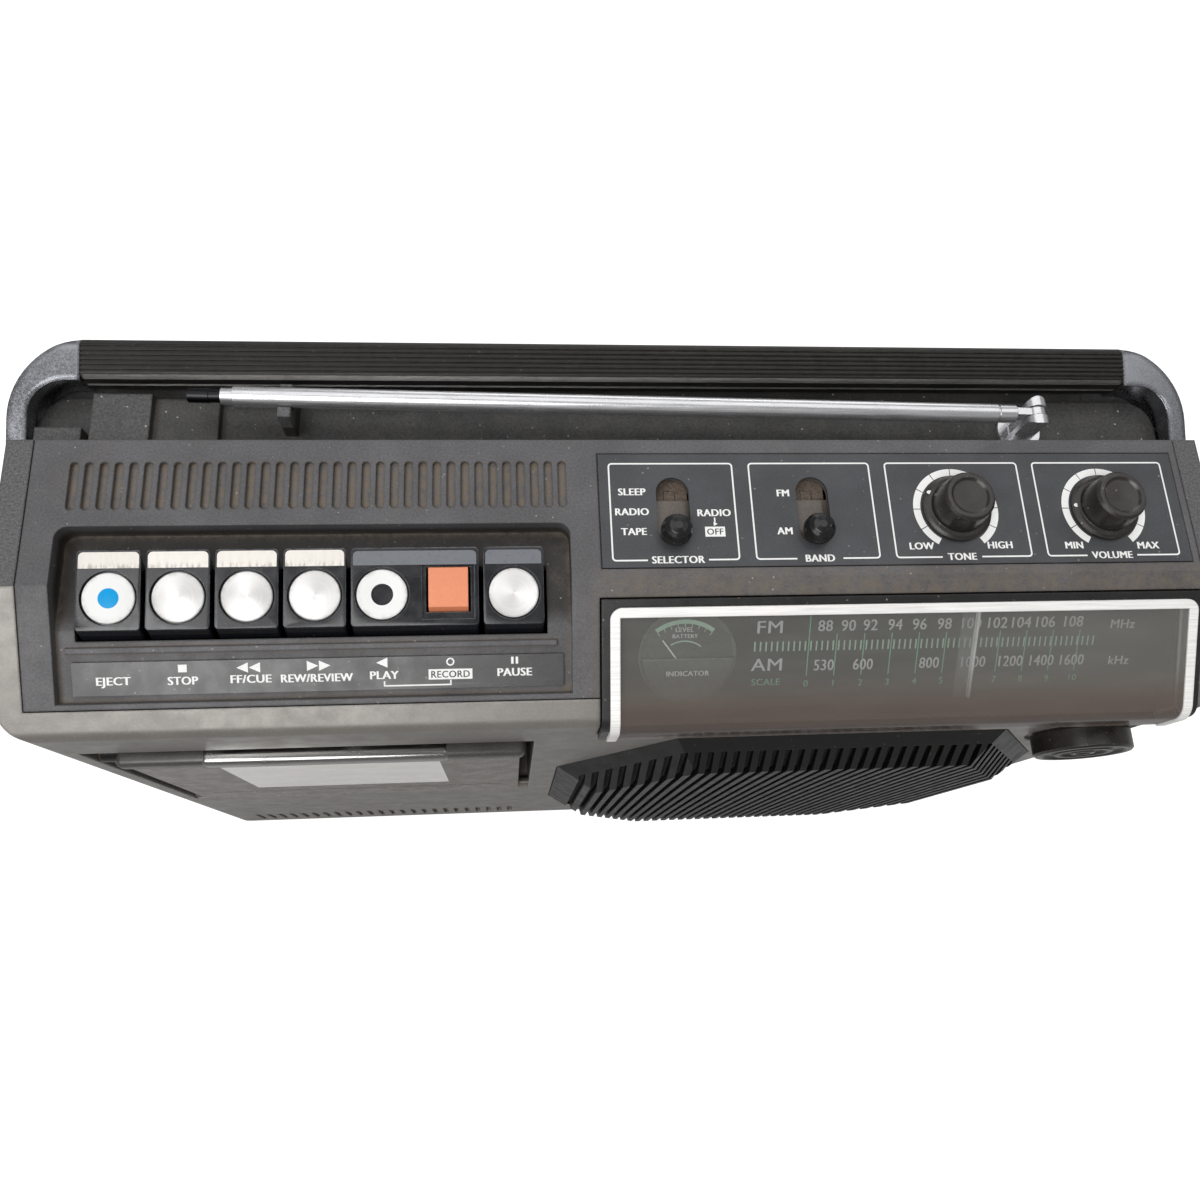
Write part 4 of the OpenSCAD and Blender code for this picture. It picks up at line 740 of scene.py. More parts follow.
@dataclass(frozen=True)
class Metal(Finish):
    """Plated or brushed metal with fine marks, pitting and tarnish."""

    tone: Triple
    roughness: float = 0.25
    lay: Lay = Lay.PLAIN
    pits: float = 0.0
    tarnish: float = 0.2
    tarnish_tone: Triple = (92, 90, 96)
    edge: float = 0.3
    metallic: float = 1.0

    LINE_SIZE = 12.0
    CLOUD_SIZE = 7.0
    SPOT_SIZE = 0.9
    PIT_SIZE = 0.55
    LINE_DEPTH = 0.02

    def paint(self, s: Shader) -> None:
        """Lay the marks, the tarnish and the pits.

        Args:
            s: Shader that is being made.
        """
        lines = s.noise(s.stretch(s.place, self.lay.value), self.LINE_SIZE, 3.0)
        clouds = s.step(s.noise(s.place, self.CLOUD_SIZE, 6.0, 0.68), 0.50, 0.68)
        spots = s.step(s.noise(s.place, self.SPOT_SIZE, 3.0, 0.6), 0.56, 0.66)
        mask = s.times(clouds, s.math("ADD", 0.45, s.times(spots, 0.55)))
        mask = s.math("MULTIPLY", mask, self.tarnish, clamp=True)
        if self.pits > 0.0:
            holes = s.step(s.noise(s.place, self.PIT_SIZE, 2.0), 0.62, 0.70)
            mask = s.math("MAXIMUM", mask, s.times(holes, self.pits))
        base = linear(*self.tone)
        colour = s.mix(s.step(lines, 0.35, 0.65), shade(base, 0.82), base)
        colour = s.mix(mask, colour, linear(*self.tarnish_tone))
        rough = s.step(lines, 0.3, 0.7, self.roughness * 0.8, self.roughness * 1.2)
        rough = s.math("ADD", rough, s.times(mask, 0.4), clamp=True)
        normal = s.relief(lines, self.LINE_DEPTH, 0.25, s.group(FX.edges, Radius=self.edge * MM)["Normal"])
        metallic = s.times(s.math("SUBTRACT", 1.0, s.times(mask, 0.6)), self.metallic)
        s.feed(Base_Color=colour, Roughness=rough, Metallic=metallic, Normal=normal)


@dataclass(frozen=True)
class SpunDisc(Finish):
    """Turned metal disc on a key, with a painted conic highlight, and the worn foil strip behind it."""

    x: float
    y: float = -2.3
    # turn sets the direction of the painted highlight.
    turn: float = 0.4
    white: bool = False
    dot: Triple | None = None
    dot_r: float = 2.6

    RADIUS = 6.15
    EDGE = 0.05
    DOT_EDGE = 0.08
    GRIME = (4.6, 5.9)
    GRIME_TONE = (150, 140, 128)
    WHITE_TONES = ((226, 226, 224), (236, 236, 235))
    # Dark and light ends of the painted highlight on a metal disc.
    METAL_TONES = ((196, 194, 192), (240, 239, 238))
    FOIL_TONES = ((226, 221, 213), (112, 102, 92))
    FOIL_FADE = (8.6, 6.4)
    RING_DEPTH = 0.012

    def paint(self, s: Shader) -> None:
        """Lay the turned disc with its painted highlight, its dot and grime, and the foil.

        Args:
            s: Shader that is being made.
        """
        inverse = CASE.key(self.x, self.y).inverted()
        lie = {"Vector": s.place, "Location": inverse.to_translation(), "Rotation": inverse.to_euler()}
        spun = s.group(FX.spun, Vector=s.add("ShaderNodeMapping", lie).outputs[0], Turn=self.turn)
        radius, rings = spun["Radius"], spun["Rings"]
        share, tones = (rings, self.WHITE_TONES) if self.white else (spun["Tone"], self.METAL_TONES)
        disc = s.mix(share, *(linear(*tone) for tone in tones))
        rim = s.step(radius, *(r * MM for r in self.GRIME))
        grime = s.times(rim, s.step(s.noise(s.place, 1.6, 4.0), 0.4, 0.7), 0.4)
        disc = s.mix(grime, disc, linear(*self.GRIME_TONE))
        if self.dot is not None:
            inside = s.step(radius, (self.dot_r + self.DOT_EDGE) * MM, (self.dot_r - self.DOT_EDGE) * MM)
            disc = s.mix(inside, disc, linear(*self.dot))
        streaks = s.noise(s.stretch(s.place, (1.0, 0.22, 1.0)), 0.9, 4.0, 0.65)
        low = s.step(s.axis("Y"), *(CASE.behind(self.y + y) for y in self.FOIL_FADE), 0.06, 0.62)
        worn = s.times(s.step(streaks, 0.44, 0.62), low)
        foil = s.mix(worn, *(linear(*tone) for tone in self.FOIL_TONES))
        outside = s.step(radius, (self.RADIUS - self.EDGE) * MM, (self.RADIUS + self.EDGE) * MM)
        s.feed(Base_Color=s.mix(outside, disc, foil), Roughness=s.step(rings, 0.3, 0.7, 0.28, 0.42),
               Metallic=0.0 if self.white else s.step(outside, 0.0, 1.0, 0.15, 0.045),
               Normal=s.relief(rings, self.RING_DEPTH, 0.35), Specular_IOR_Level=0.15 if self.white else 0.5)


@dataclass(frozen=True)
class ClearSheet(Finish):
    """Clear plastic with haze, dust and fine scratches, duller and tinted below a fade if it has one."""

    tone: Triple
    haze: float
    roughness: float = 0.12
    fade: Pair | None = None
    low_haze: float = 0.0
    low_tone: Triple = (0, 0, 0)
    side: float = 0.0
    band: float | None = None

    SIDE_FADE = (40.0, 125.0)
    DUST_TONE = (138, 128, 118)
    BAND_TONE = (14, 14, 14)

    def paint(self, s: Shader) -> None:
        """Lay the haze, the dust, the marks and the band.

        Args:
            s: Shader that is being made.
        """
        alpha, colour = self.haze, linear(*self.tone)
        if self.fade is not None:
            top, bottom = (CASE.behind(y) for y in self.fade)
            left, right = (x * MM for x in self.SIDE_FADE)
            alpha = s.step(s.axis("Y"), top, bottom, self.haze, self.low_haze)
            alpha = s.math("ADD", alpha, s.step(s.axis("X"), left, right, 0.0, self.side))
            colour = s.mix(s.step(s.axis("Y"), top, bottom), colour, linear(*self.low_tone))
        dust = s.group(FX.dust, Vector=s.place, Amount=0.4)
        marks = s.group(FX.wear, Vector=s.place, Amount=0.5)["Mask"]
        smear = s.step(s.noise(s.stretch(s.place, (0.25, 1.0, 1.0)), 5.0, 4.0, 0.6), 0.4, 0.7)
        for share, value in ((0.02, dust["Mask"]), (0.05, marks), (0.12, dust["Specks"]), (0.06, smear)):
            alpha = s.math("ADD", alpha, s.times(value, share), clamp=True)
        colour = s.mix(s.times(dust["Mask"], 0.12), colour, linear(*self.DUST_TONE))
        if self.band is not None:
            above = s.above(self.band)
            colour = s.mix(above, colour, linear(*self.BAND_TONE))
            alpha = s.math("MAXIMUM", alpha, above)
        rough = s.step(s.noise(s.place, 6.0, 4.0), 0.3, 0.7, self.roughness * 0.7, self.roughness * 1.4)
        normal = s.relief(s.noise(s.place, 22.0, 1.0), 0.02, 0.06)
        s.feed(Base_Color=colour, Roughness=rough, Alpha=alpha, Normal=normal, Specular_IOR_Level=0.6)


@dataclass(frozen=True)
class Cursor(Finish):
    """Clear strip with an opaque ridge, for the moving pointer of the dial."""

    ridge_x: float = 86.4
    half: float = 0.3

    STRIP_TONE = (196, 198, 196)
    LINE_TONE = (244, 244, 242)

    def paint(self, s: Shader) -> None:
        """Lay the white line in the cloudy strip.

        Args:
            s: Shader that is being made.
        """
        beside = s.math("ABSOLUTE", s.math("SUBTRACT", s.axis("X"), self.ridge_x * MM))
        line = s.step(beside, (self.half + 0.08) * MM, (self.half - 0.02) * MM)
        cloud = s.step(s.noise(s.place, 3.0, 3.0), 0.3, 0.7, 0.10, 0.2)
        s.feed(Base_Color=s.mix(line, linear(*self.STRIP_TONE), linear(*self.LINE_TONE)),
               Roughness=s.step(s.noise(s.place, 2.0, 3.0), 0.3, 0.7, 0.2, 0.35),
               Alpha=s.math("MAXIMUM", line, cloud))


@dataclass(frozen=True)
class PrintInk(Finish):
    """Screen print that has worn a little."""

    tone: Triple
    worn: float = 0.25

    def paint(self, s: Shader) -> None:
        """Lay the ink with thin places.

        Args:
            s: Shader that is being made.
        """
        base = linear(*self.tone)
        thin = s.step(s.noise(s.place, 0.8, 3.0), 0.55, 0.75, 0.0, self.worn)
        s.feed(Base_Color=s.mix(thin, base, shade(base, 0.45)),
               Roughness=s.step(s.noise(s.place, 2.0, 2.0), 0.3, 0.7, 0.4, 0.6))


@dataclass(frozen=True)
class Laminate(Finish):
    """Circuit board with copper tracks under varnish, and dusty switch bodies above it, made lighter as painted light.
    """

    tone: Triple
    track: Triple
    body_z: float | None = None
    body: Triple = (74, 66, 60)

    def paint(self, s: Shader) -> None:
        """Lay the weave, the tracks and the bodies.

        Args:
            s: Shader that is being made.
        """
        weave = s.noise(s.stretch(s.place, (1.0, 8.0, 8.0)), 3.0, 2.0)
        wander = s.add("ShaderNodeTexVoronoi", {"Vector": s.place, "Scale": 120.0}, feature="DISTANCE_TO_EDGE")
        lines = s.step(wander.outputs["Distance"], 0.10, 0.06)
        colour = s.mix(s.step(weave, 0.3, 0.7), linear(*self.tone), linear(*(c * 0.8 for c in self.tone)))
        colour = s.mix(s.times(lines, 0.7), colour, linear(*self.track))
        if self.body_z is not None:
            fluff = s.step(s.noise(s.stretch(s.place, (0.5, 1.6, 1.0)), 0.7, 5.0, 0.7), 0.35, 0.65)
            body = s.mix(fluff, shade(linear(*self.body), 0.55), linear(*self.body))
            colour = s.mix(s.above(self.body_z), colour, body)
        s.feed(Base_Color=colour, Roughness=s.step(weave, 0.3, 0.7, 0.35, 0.5), Normal=s.relief(lines, 0.04, 0.4))


@dataclass(frozen=True)
class Cloth(Finish):
    """Open woven cloth or felted paper."""

    tone: Triple
    pitch: float

    def paint(self, s: Shader) -> None:
        """Lay the weave.

        Args:
            s: Shader that is being made.
        """
        waves = [s.math("SINE", s.times(s.axis(a), 2.0 * math.pi / (self.pitch * MM))) for a in "XZ"]
        weave = s.step(s.times(*waves), -0.6, 0.6)
        base = linear(*self.tone)
        s.feed(Base_Color=s.mix(weave, shade(base, 0.35), base), Normal=s.relief(weave, 0.12, 0.6),
               Roughness=s.step(s.noise(s.place, 2.0), 0.3, 0.7, 0.75, 0.95))


@dataclass
class Finishes:
    """Every finish of the recorder, and the solids that wear it."""

    made: dict[str, Material] = field(default_factory=dict)

    WORN = {
        "gunmetal_paint": ("front_cabinet",),
        "door_paint": ("cassette_door",),
        "case_plastic": ("rear_cabinet", "battery_cover"),
        "panel_plastic": ("top_panel",),
        "plate_plastic": ("control_plate",),
        "label_plastic": ("label_strip",),
        "key_plastic": ("eject_key", "stop_key", "fast_forward_key", "rewind_key", "play_key", "pause_key"),
        "record_plastic": ("record_key",),
        "knob_plastic": ("tone_knob", "volume_knob", "tuning_knob"),
        "lever_plastic": ("selector_lever", "band_lever"),
        "bezel_plastic": ("dial_bezel",),
        "scale_plastic": ("dial_scale",),
        "meter_plastic": ("level_meter",),
        "grille_plastic": ("speaker_grille",),
        "inner_plastic": ("cassette_holder", "supply_hub", "take_up_hub", "rear_sockets"),
        "grip_plastic": ("handle_grip",),
        "white_plastic": ("meter_needle",),
        "cursor_plastic": ("dial_pointer",),
        "rubber": ("feet", "drive_belt", "pinch_roller"),
        "ferrite": ("ferrite_rod",),
        "worn_chrome": ("handle_arms",),
        "aerial_chrome": ("antenna_base", "antenna_tube", "antenna_middle"),
        "blackened_metal": ("antenna_tip",),
        "trim_chrome": ("dial_trim",),
        "steel": ("key_shaft", "screws", "deck_chassis", "head_plate", "speaker_frame", "drive_motor"),
        "brass": ("motor_pulley", "capstan_flywheel"),
        "lens_plastic": ("dial_lens",),
        "window_plastic": ("door_window",),
        "circuit_board": ("main_board",),
        "switch_board": ("control_board",),
        "speaker_cloth": ("speaker_mesh",),
        "cone_paper": ("speaker_cone",),
    }

    @staticmethod
    def _case() -> list[Finish]:
        """List the plastics and paints of the case, the door and what is fixed to them.

        Returns:
            The finishes.
        """
        return [
            Plastic("gunmetal_paint", (120, 116, 111), 0.38, metallic=0.3, grain=0.1, grain_size=0.25, mottle=0.06,
                    grit=0.08, dust=0.2, corners=0.5, dust_tone=(104, 94, 82), edge=0.9, edge_wear_and_highlight_tone=(176, 172, 166)),
            Plastic("door_paint", (106, 99, 92), 0.3, metallic=0.3, grain=0.06, mottle=0.08, grit=0.08, dust=0.25,
                    corners=0.4, edge=0.5, edge_wear_and_highlight_tone=(128, 124, 118), band=(CASE.door_band_z, (12, 12, 12))),
            # The lighter colour above the rear wall's height is painted light on the top of the case.
            Plastic("case_plastic", (51, 50, 49), 0.5, grain=0.35, grit=0.45, mottle=0.2, dust=0.6, corners=0.7,
                    edge=0.9, specks=1.2, dust_tone=(92, 84, 74), band=(CASE.top - 9.0, (82, 81, 82))),
            # The darker colour deep under the top of the panel is painted shade in its recesses.
            Plastic("panel_plastic", (83, 82, 84), 0.5, grain=0.4, dust=0.56, corners=0.9, edge=0.6, specular=0.4,
                    settle=(-1.1, -0.4, 15.5), drift=(-18.0, -3.0, 7.0), dust_tone=(112, 100, 86), specks=0.8,
                    deep_shade=(44, 41, 39)),
            Plastic("plate_plastic", (62, 63, 66), 0.42, grain=0.12, grit=0.12, dust=0.52, edge=0.15,
                    dust_tone=(92, 86, 80), specks=0.8, specular=0.4),
            Plastic("label_plastic", (55, 54, 54), 0.3, grain=0.08, grit=0.1, dust=0.34, scratches=0.3, edge=0.15,
                    dust_tone=(104, 96, 86), specks=0.9),
            Plastic("bezel_plastic", (28, 28, 28), 0.32, grain=0.06, dust=0.56, corners=0.6, edge=0.5,
                    dust_tone=(94, 86, 76), specks=0.8),
            Plastic("scale_plastic", (24, 26, 25), 0.4, grain=0.0, mottle=0.2, dust=0.2, scratches=0.0, edge=0.1),
            Plastic("meter_plastic", (84, 86, 84), 0.3, grain=0.0, mottle=0.15, dust=0.3, scratches=0.0, edge=0.6,
                    edge_wear_and_highlight_tone=(150, 154, 150)),
            Plastic("grille_plastic", (9, 9, 8), 0.4, grain=0.06, dust=0.24, edge=0.3, edge_wear_and_highlight_tone=(44, 41, 37),
                    dust_tone=(46, 42, 37), specular=0.3),
            Plastic("inner_plastic", (34, 34, 35), 0.5, dust=0.15, edge=0.3),
            Plastic("door_bar_paint", (66, 64, 62), 0.34, grain=0.08, dust=0.34, edge=0.4, edge_wear_and_highlight_tone=(92, 88, 82),
                    dust_tone=(84, 78, 70)),
            Plastic("guide_plastic", (98, 86, 76), 0.7, grain=0.4, grit=0.4, mottle=0.3, dust=0.5, edge=0.15,
                    dust_tone=(124, 110, 96)),
            ClearSheet("lens_plastic", (138, 137, 132), 0.22, fade=(-20.0, -32.0), low_haze=0.5,
                       low_tone=(108, 96, 89), side=0.08),
            ClearSheet("window_plastic", (250, 246, 241), 0.94, band=CASE.door_band_z),
        ]

    @staticmethod
    def _controls() -> list[Finish]:
        """List the plastics of the keys, knobs, levers, pointers and the grip.

        Returns:
            The finishes.
        """
        return [
            # The light edge colour of the keys is a painted highlight along their edges, with some wear.
            Plastic("key_plastic", (21, 22, 26), 0.24, grain=0.03, mottle=0.1, grit=0.1, dust=0.2, edge=0.3,
                    edge_wear_and_highlight_tone=(132, 134, 140), dust_tone=(70, 66, 62)),
            Plastic("knob_plastic", (34, 31, 29), 0.3, grain=0.03, dust=0.5, edge=0.4, edge_wear_and_highlight_tone=(84, 80, 76),
                    dust_tone=(104, 94, 84), specks=0.8),
            Plastic("lever_plastic", (84, 75, 68), 0.24, grain=0.04, dust=0.3, edge=0.3, dust_tone=(104, 94, 82),
                    band=(CASE.top - 0.6, (15, 15, 15))),
            Plastic("grip_plastic", (23, 22, 21), 0.4, grain=0.1, mottle=0.25, dust=0.3, edge=0.25, specular=0.3,
                    edge_wear_and_highlight_tone=(88, 82, 74), dust_tone=(64, 58, 50)),
            Plastic("record_plastic", (224, 137, 98), 0.42, grain=0.06, mottle=0.04, grit=0.04, dust=0.1, edge=0.35),
            Plastic("white_plastic", (232, 232, 229), 0.35, grain=0.0, mottle=0.03, grit=0.02, dust=0.1, edge=0.1),
            Cursor("cursor_plastic"),
        ]

    @staticmethod
    def _fittings() -> list[Finish]:
        """List the metals, the inks and the stuff of the inner parts.

        Returns:
            The finishes.
        """
        return [
            Plastic("rubber", (20, 20, 20), 0.75, grain=0.3, dust=0.3, edge=0.4),
            Plastic("ferrite", (52, 48, 46), 0.6, grain=0.4, dust=0.1, edge=0.3),
            Metal("worn_chrome", (142, 143, 148), 0.2, pits=0.35, tarnish=0.5, tarnish_tone=(122, 120, 126), edge=1.8),
            Metal("aerial_chrome", (216, 216, 218), 0.26, Lay.ALONG_X, pits=0.12, edge=0.2, metallic=0.85),
            Metal("blackened_metal", (44, 44, 46), 0.3, Lay.ALONG_X, tarnish_tone=(20, 20, 21), edge=0.2),
            Metal("trim_chrome", (250, 248, 245), 0.42, Lay.ALONG_X, tarnish=0.15, tarnish_tone=(160, 150, 140),
                  edge=0.5, metallic=0.15),
            Metal("polished_black", (150, 149, 147), 0.16, Lay.ALONG_X, tarnish=0.5, tarnish_tone=(26, 25, 24),
                  edge=0.4),
            Metal("shiny_lip", (205, 203, 200), 0.42, Lay.ALONG_X, tarnish=0.3, tarnish_tone=(60, 58, 56)),
            Metal("steel", (186, 188, 190), 0.35),
            Metal("brass", (206, 178, 110), 0.3, tarnish=0.25, tarnish_tone=(112, 92, 54)),
            Laminate("circuit_board", (150, 112, 62), (176, 120, 64)),
            # The switch bodies' colour is made lighter, painted light against the shade in the slots, with dusty fluff
            # in it.
            Laminate("switch_board", (84, 72, 58), (96, 80, 58), CASE.top - 16.0, (122, 108, 96)),
            Cloth("speaker_cloth", (14, 14, 14), 0.9),
            Cloth("cone_paper", (40, 38, 36), 2.4),
            PrintInk("white_ink", (232, 232, 230)),
            PrintInk("dial_ink", (214, 216, 214), 0.35),
            PrintInk("tick_ink", (178, 212, 188), 0.3),
            PrintInk("green_ink", (124, 194, 148), 0.3),
            PrintInk("dark_ink", (34, 34, 36), 0.3),
            # Grey print that paints the sheen on the black glossy top strips of the play and pause keys.
            PrintInk("smoked_foil", (104, 107, 113), 0.5),
        ]

    def build(self) -> None:
        """Make each finish once, and dress every solid that keeps its own shape."""
        for finish in self._case() + self._controls() + self._fittings():
            self.made[finish.name] = finish.build()
        for name, nodes in self.WORN.items():
            for node in nodes:
                dress(frame["nodes"][node], self.made[name])
                LOG.info("solid %s wears %s", node, name)


FINISH = Finishes()


@dataclass
class Print:
    """Ink on one plane, drawn with letters, bars, arcs and frames, and joined into one piece."""

    name: str
    plane: Matrix
    ink: str
    height: float = 0.03
    thick: float = 0.02
    parts: list[Piece] = field(default_factory=list)

    CAP = 0.7
    SPACING = 1.06

    def _lay(self, matrix: Matrix) -> None:
        """Put the last made mesh on the plane and keep it.

        Args:
            matrix: From the mesh to the plane.
        """
        item = bpy.context.view_layer.objects.active
        item.data.transform(self.plane @ Matrix.Translation((0, 0, self.height * MM)) @ matrix)
        item.matrix_world = Matrix.Identity(4)
        self.parts.append(item)

    @staticmethod
    def _sheet(sides: Sides = (-500.0, -500.0, 500.0, 500.0)) -> Piece:
        """Add a flat sheet, one metre square unless its sides are given.

        Args:
            sides: Left, lower, right and upper side.

        Returns:
            The sheet.
        """
        deselect()
        bpy.ops.mesh.primitive_plane_add(size=1.0)
        item = bpy.context.object
        x0, y0, x1, y1 = (side * MM for side in sides)
        item.data.transform(between(Vector((x0, y0, -0.5)), Vector((x1, y1, 0.5))))
        return item

    def word(self, text: str, x: float, y: float, cap: float, wide: float = 1.0, bold: float = 0.03) -> None:
        """Print a word with its middle at a place.

        Args:
            text: The letters.
            x: Place along the plane.
            y: Place up the plane.
            cap: Height of a capital.
            wide: Stretch of the letters.
            bold: Sideways growth of the strokes, for letters one unit high.
        """
        deselect()
        bpy.ops.object.text_add(location=(0, 0, 0))
        curve = bpy.context.object.data
        curve.body = text
        curve.size = 1.0
        curve.extrude = 0.5
        curve.resolution_u = 3
        curve.space_character = self.SPACING
        bpy.ops.object.convert(target="MESH")
        item = bpy.context.object
        with Bench(item):
            bpy.ops.mesh.duplicate_move(TRANSFORM_OT_translate={"value": (bold, 0, 0.5)})
        xs = [v.co.x for v in item.data.vertices]
        ys = [v.co.y for v in item.data.vertices]
        size = cap * MM / self.CAP
        shift = Matrix.Translation((-(min(xs) + max(xs)) / 2, -(min(ys) + max(ys)) / 2, 0))
        grow = Matrix.Diagonal((size * wide, size, self.thick * MM, 1.0))
        self._lay(Matrix.Translation((x * MM, y * MM, 0)) @ grow @ shift)

    def bar(self, sides: Sides, turn: float = 0.0) -> None:
        """Print a bar.

        Args:
            sides: Left, lower, right and upper side.
            turn: Turn about its middle, in degrees.
        """
        deselect()
        bpy.ops.mesh.primitive_cube_add(size=1.0)
        x0, y0, x1, y1 = (side * MM for side in sides)
        move = Matrix.Translation(((x0 + x1) / 2, (y0 + y1) / 2, 0))
        grow = Matrix.Diagonal((x1 - x0, y1 - y0, self.thick * MM, 1.0))
        self._lay(move @ Matrix.Rotation(math.radians(turn), 4, "Z") @ grow)

    def spot(self, x: float, y: float, wide: float, high: float, sides: int = 32, turn: float = 0.0) -> None:
        """Print a filled round, oval or triangle.

        Args:
            x: Middle along the plane.
            y: Middle up the plane.
            wide: Width.
            high: Height.
            sides: Number of corners.
            turn: Turn before it is stretched, in degrees.
        """
        deselect()
        bpy.ops.mesh.primitive_cylinder_add(vertices=sides, radius=0.5, depth=1.0)
        grow = Matrix.Diagonal((wide * MM, high * MM, self.thick * MM, 1.0))
        self._lay(Matrix.Translation((x * MM, y * MM, 0)) @ grow @ Matrix.Rotation(math.radians(turn), 4, "Z"))

    def tab(self, sides: Sides, corner: float) -> None:
        """Lay a thin tab with its upper two corners rounded.

        Args:
            sides: Left, lower, right and upper side.
            corner: Radius of the upper corners.
        """
        with Bench(self._sheet(sides)) as bench:
            bench.edges(lambda a, b: min(a.y, b.y) > (sides[3] - 0.01) * MM)
            bench.bevel(corner, 5, "VERTICES")
            bench.thicken(self.thick)
        self._lay(Matrix.Identity(4))

    def arc(self, x: float, y: float, inner: float, outer: float, start: float, end: float, steps: int = 12) -> None:
        """Print a part of a ring.

        Args:
            x: Middle along the plane.
            y: Middle up the plane.
            inner: Inner radius.
            outer: Outer radius.
            start: Start angle in degrees.
            end: End angle in degrees.
            steps: Number of straight pieces.
        """
        item = self._sheet()
        with Bench(item) as bench:
            bench.edges(lambda a, b: a.x > 0 and b.x > 0)
            bpy.ops.mesh.delete(type="VERT")
            bpy.ops.mesh.select_mode(type="VERT")
            bench.everything()
            mesh = bmesh.from_edit_mesh(item.data)
            lead = math.radians(start)
            for vert, radius in zip(mesh.verts, (inner, outer)):
                vert.co = Vector((math.cos(lead), math.sin(lead), 0)) * radius * MM
            bmesh.update_edit_mesh(item.data)
            bpy.ops.mesh.spin(steps=steps, angle=math.radians(start - end), center=(0, 0, 0), axis=(0, 0, 1))
            bench.everything()
            bpy.ops.mesh.remove_doubles(threshold=1e-7)
            bench.thicken(self.thick)
        self._lay(Matrix.Translation((x * MM, y * MM, 0)))

    def frame(self, sides: Sides, line: float, corner: float, gap: Pair) -> None:
        """Print a frame with round corners, broken along its lower side.

        Args:
            sides: Left, lower, right and upper side.
            line: Width of the line.
            corner: Radius of the corners.
            gap: Left and right end of the break.
        """
        with Bench(self._sheet(sides)) as bench:
            bench.bevel(corner, 4, "VERTICES")
            bench.everything()
            bpy.ops.mesh.inset(thickness=line * MM)
            bpy.ops.mesh.delete(type="FACE")
            for cut in gap:
                bench.everything()
                bpy.ops.mesh.bisect(plane_co=(cut * MM, 0, 0), plane_no=(1, 0, 0))
            bench.faces(lambda c: gap[0] * MM < c.x < gap[1] * MM and c.y < (sides[1] + 2 * line) * MM)
            bpy.ops.mesh.delete(type="FACE")
            bench.thicken(self.thick)
        self._lay(Matrix.Identity(4))

    def done(self, body: str = "case") -> None:
        """Join the parts into one piece that rides on a body.

        Args:
            body: Body that carries the print.
        """
        pick(*self.parts)
        bpy.ops.object.join()
        item = made(self.name)
        item.data.materials.clear()
        ride(item, FINISH.made[self.ink], body)


@dataclass
class ControlPrint:
    """White print on the control plate, round the levers and the knobs."""

    line: float = 0.4
    cap: float = 1.85
    bold: float = 0.08
    corner: float = 1.0
    frames: tuple[tuple[Pair, Pair], ...] = (
        ((-7.1, 24.4), (1.6, 16.6)), ((28.3, 59.8), (38.6, 50.2)), ((63.7, 99.2), (75.6, 85.9)),
        ((103.1, 138.6), (113.6, 126.9)))
    frame_y: Pair = (4.2, 30.2)
    words: tuple[tuple[str, float, float], ...] = (
        ("SLEEP", -1.4, 22.4), ("RADIO", -1.6, 17.1), ("TAPE", -1.4, 11.9), ("RADIO", 18.8, 16.7),
        ("SELECTOR", 9.1, 4.5), ("FM", 36.7, 21.9), ("AM", 36.2, 11.75), ("BAND", 44.4, 4.5), ("LOW", 70.7, 7.4),
        ("HIGH", 91.05, 7.45), ("TONE", 80.75, 4.5), ("MIN", 110.6, 7.2), ("MAX", 130.4, 7.0),
        ("VOLUME", 120.25, 4.5))
    arrow_x: float = 18.8
    arrow_shaft: Sides = (18.62, 14.2, 18.98, 15.4)
    arrow_y: float = 13.75
    arrow_size: float = 1.3
    plate: Sides = (16.2, 10.4, 21.2, 13.0)
    ring: Pair = (9.25, 11.1)
    ring_start: float = 238.0
    ring_parts: int = 10
    ring_pitch: float = 29.6
    ring_part: float = 28.4
    off: tuple[str, float, float, float] = ("OFF", 18.7, 11.7, 1.6)

    def build(self) -> None:
        """Draw the frames, words, arrow and rings."""
        ink = Print("control_print", CASE.flat(), "white_ink")
        for (left, right), gap in self.frames:
            ink.frame((left, self.frame_y[0], right, self.frame_y[1]), self.line, self.corner, gap)
        for text, x, y in self.words:
            ink.word(text, x, y, self.cap, bold=self.bold)
        ink.bar(self.arrow_shaft)
        ink.spot(self.arrow_x, self.arrow_y, self.arrow_size, self.arrow_size, 3, -90)
        ink.bar(self.plate)
        for _, x in CASE.knobs:
            for part in range(self.ring_parts):
                start = self.ring_start - part * self.ring_pitch
                ink.arc(x, CASE.control_y, *self.ring, start - self.ring_part, start, 8)
        ink.done()
        dark = Print("control_dark_print", CASE.flat(), "dark_ink", height=0.06)
        dark.word(*self.off)
        dark.done()


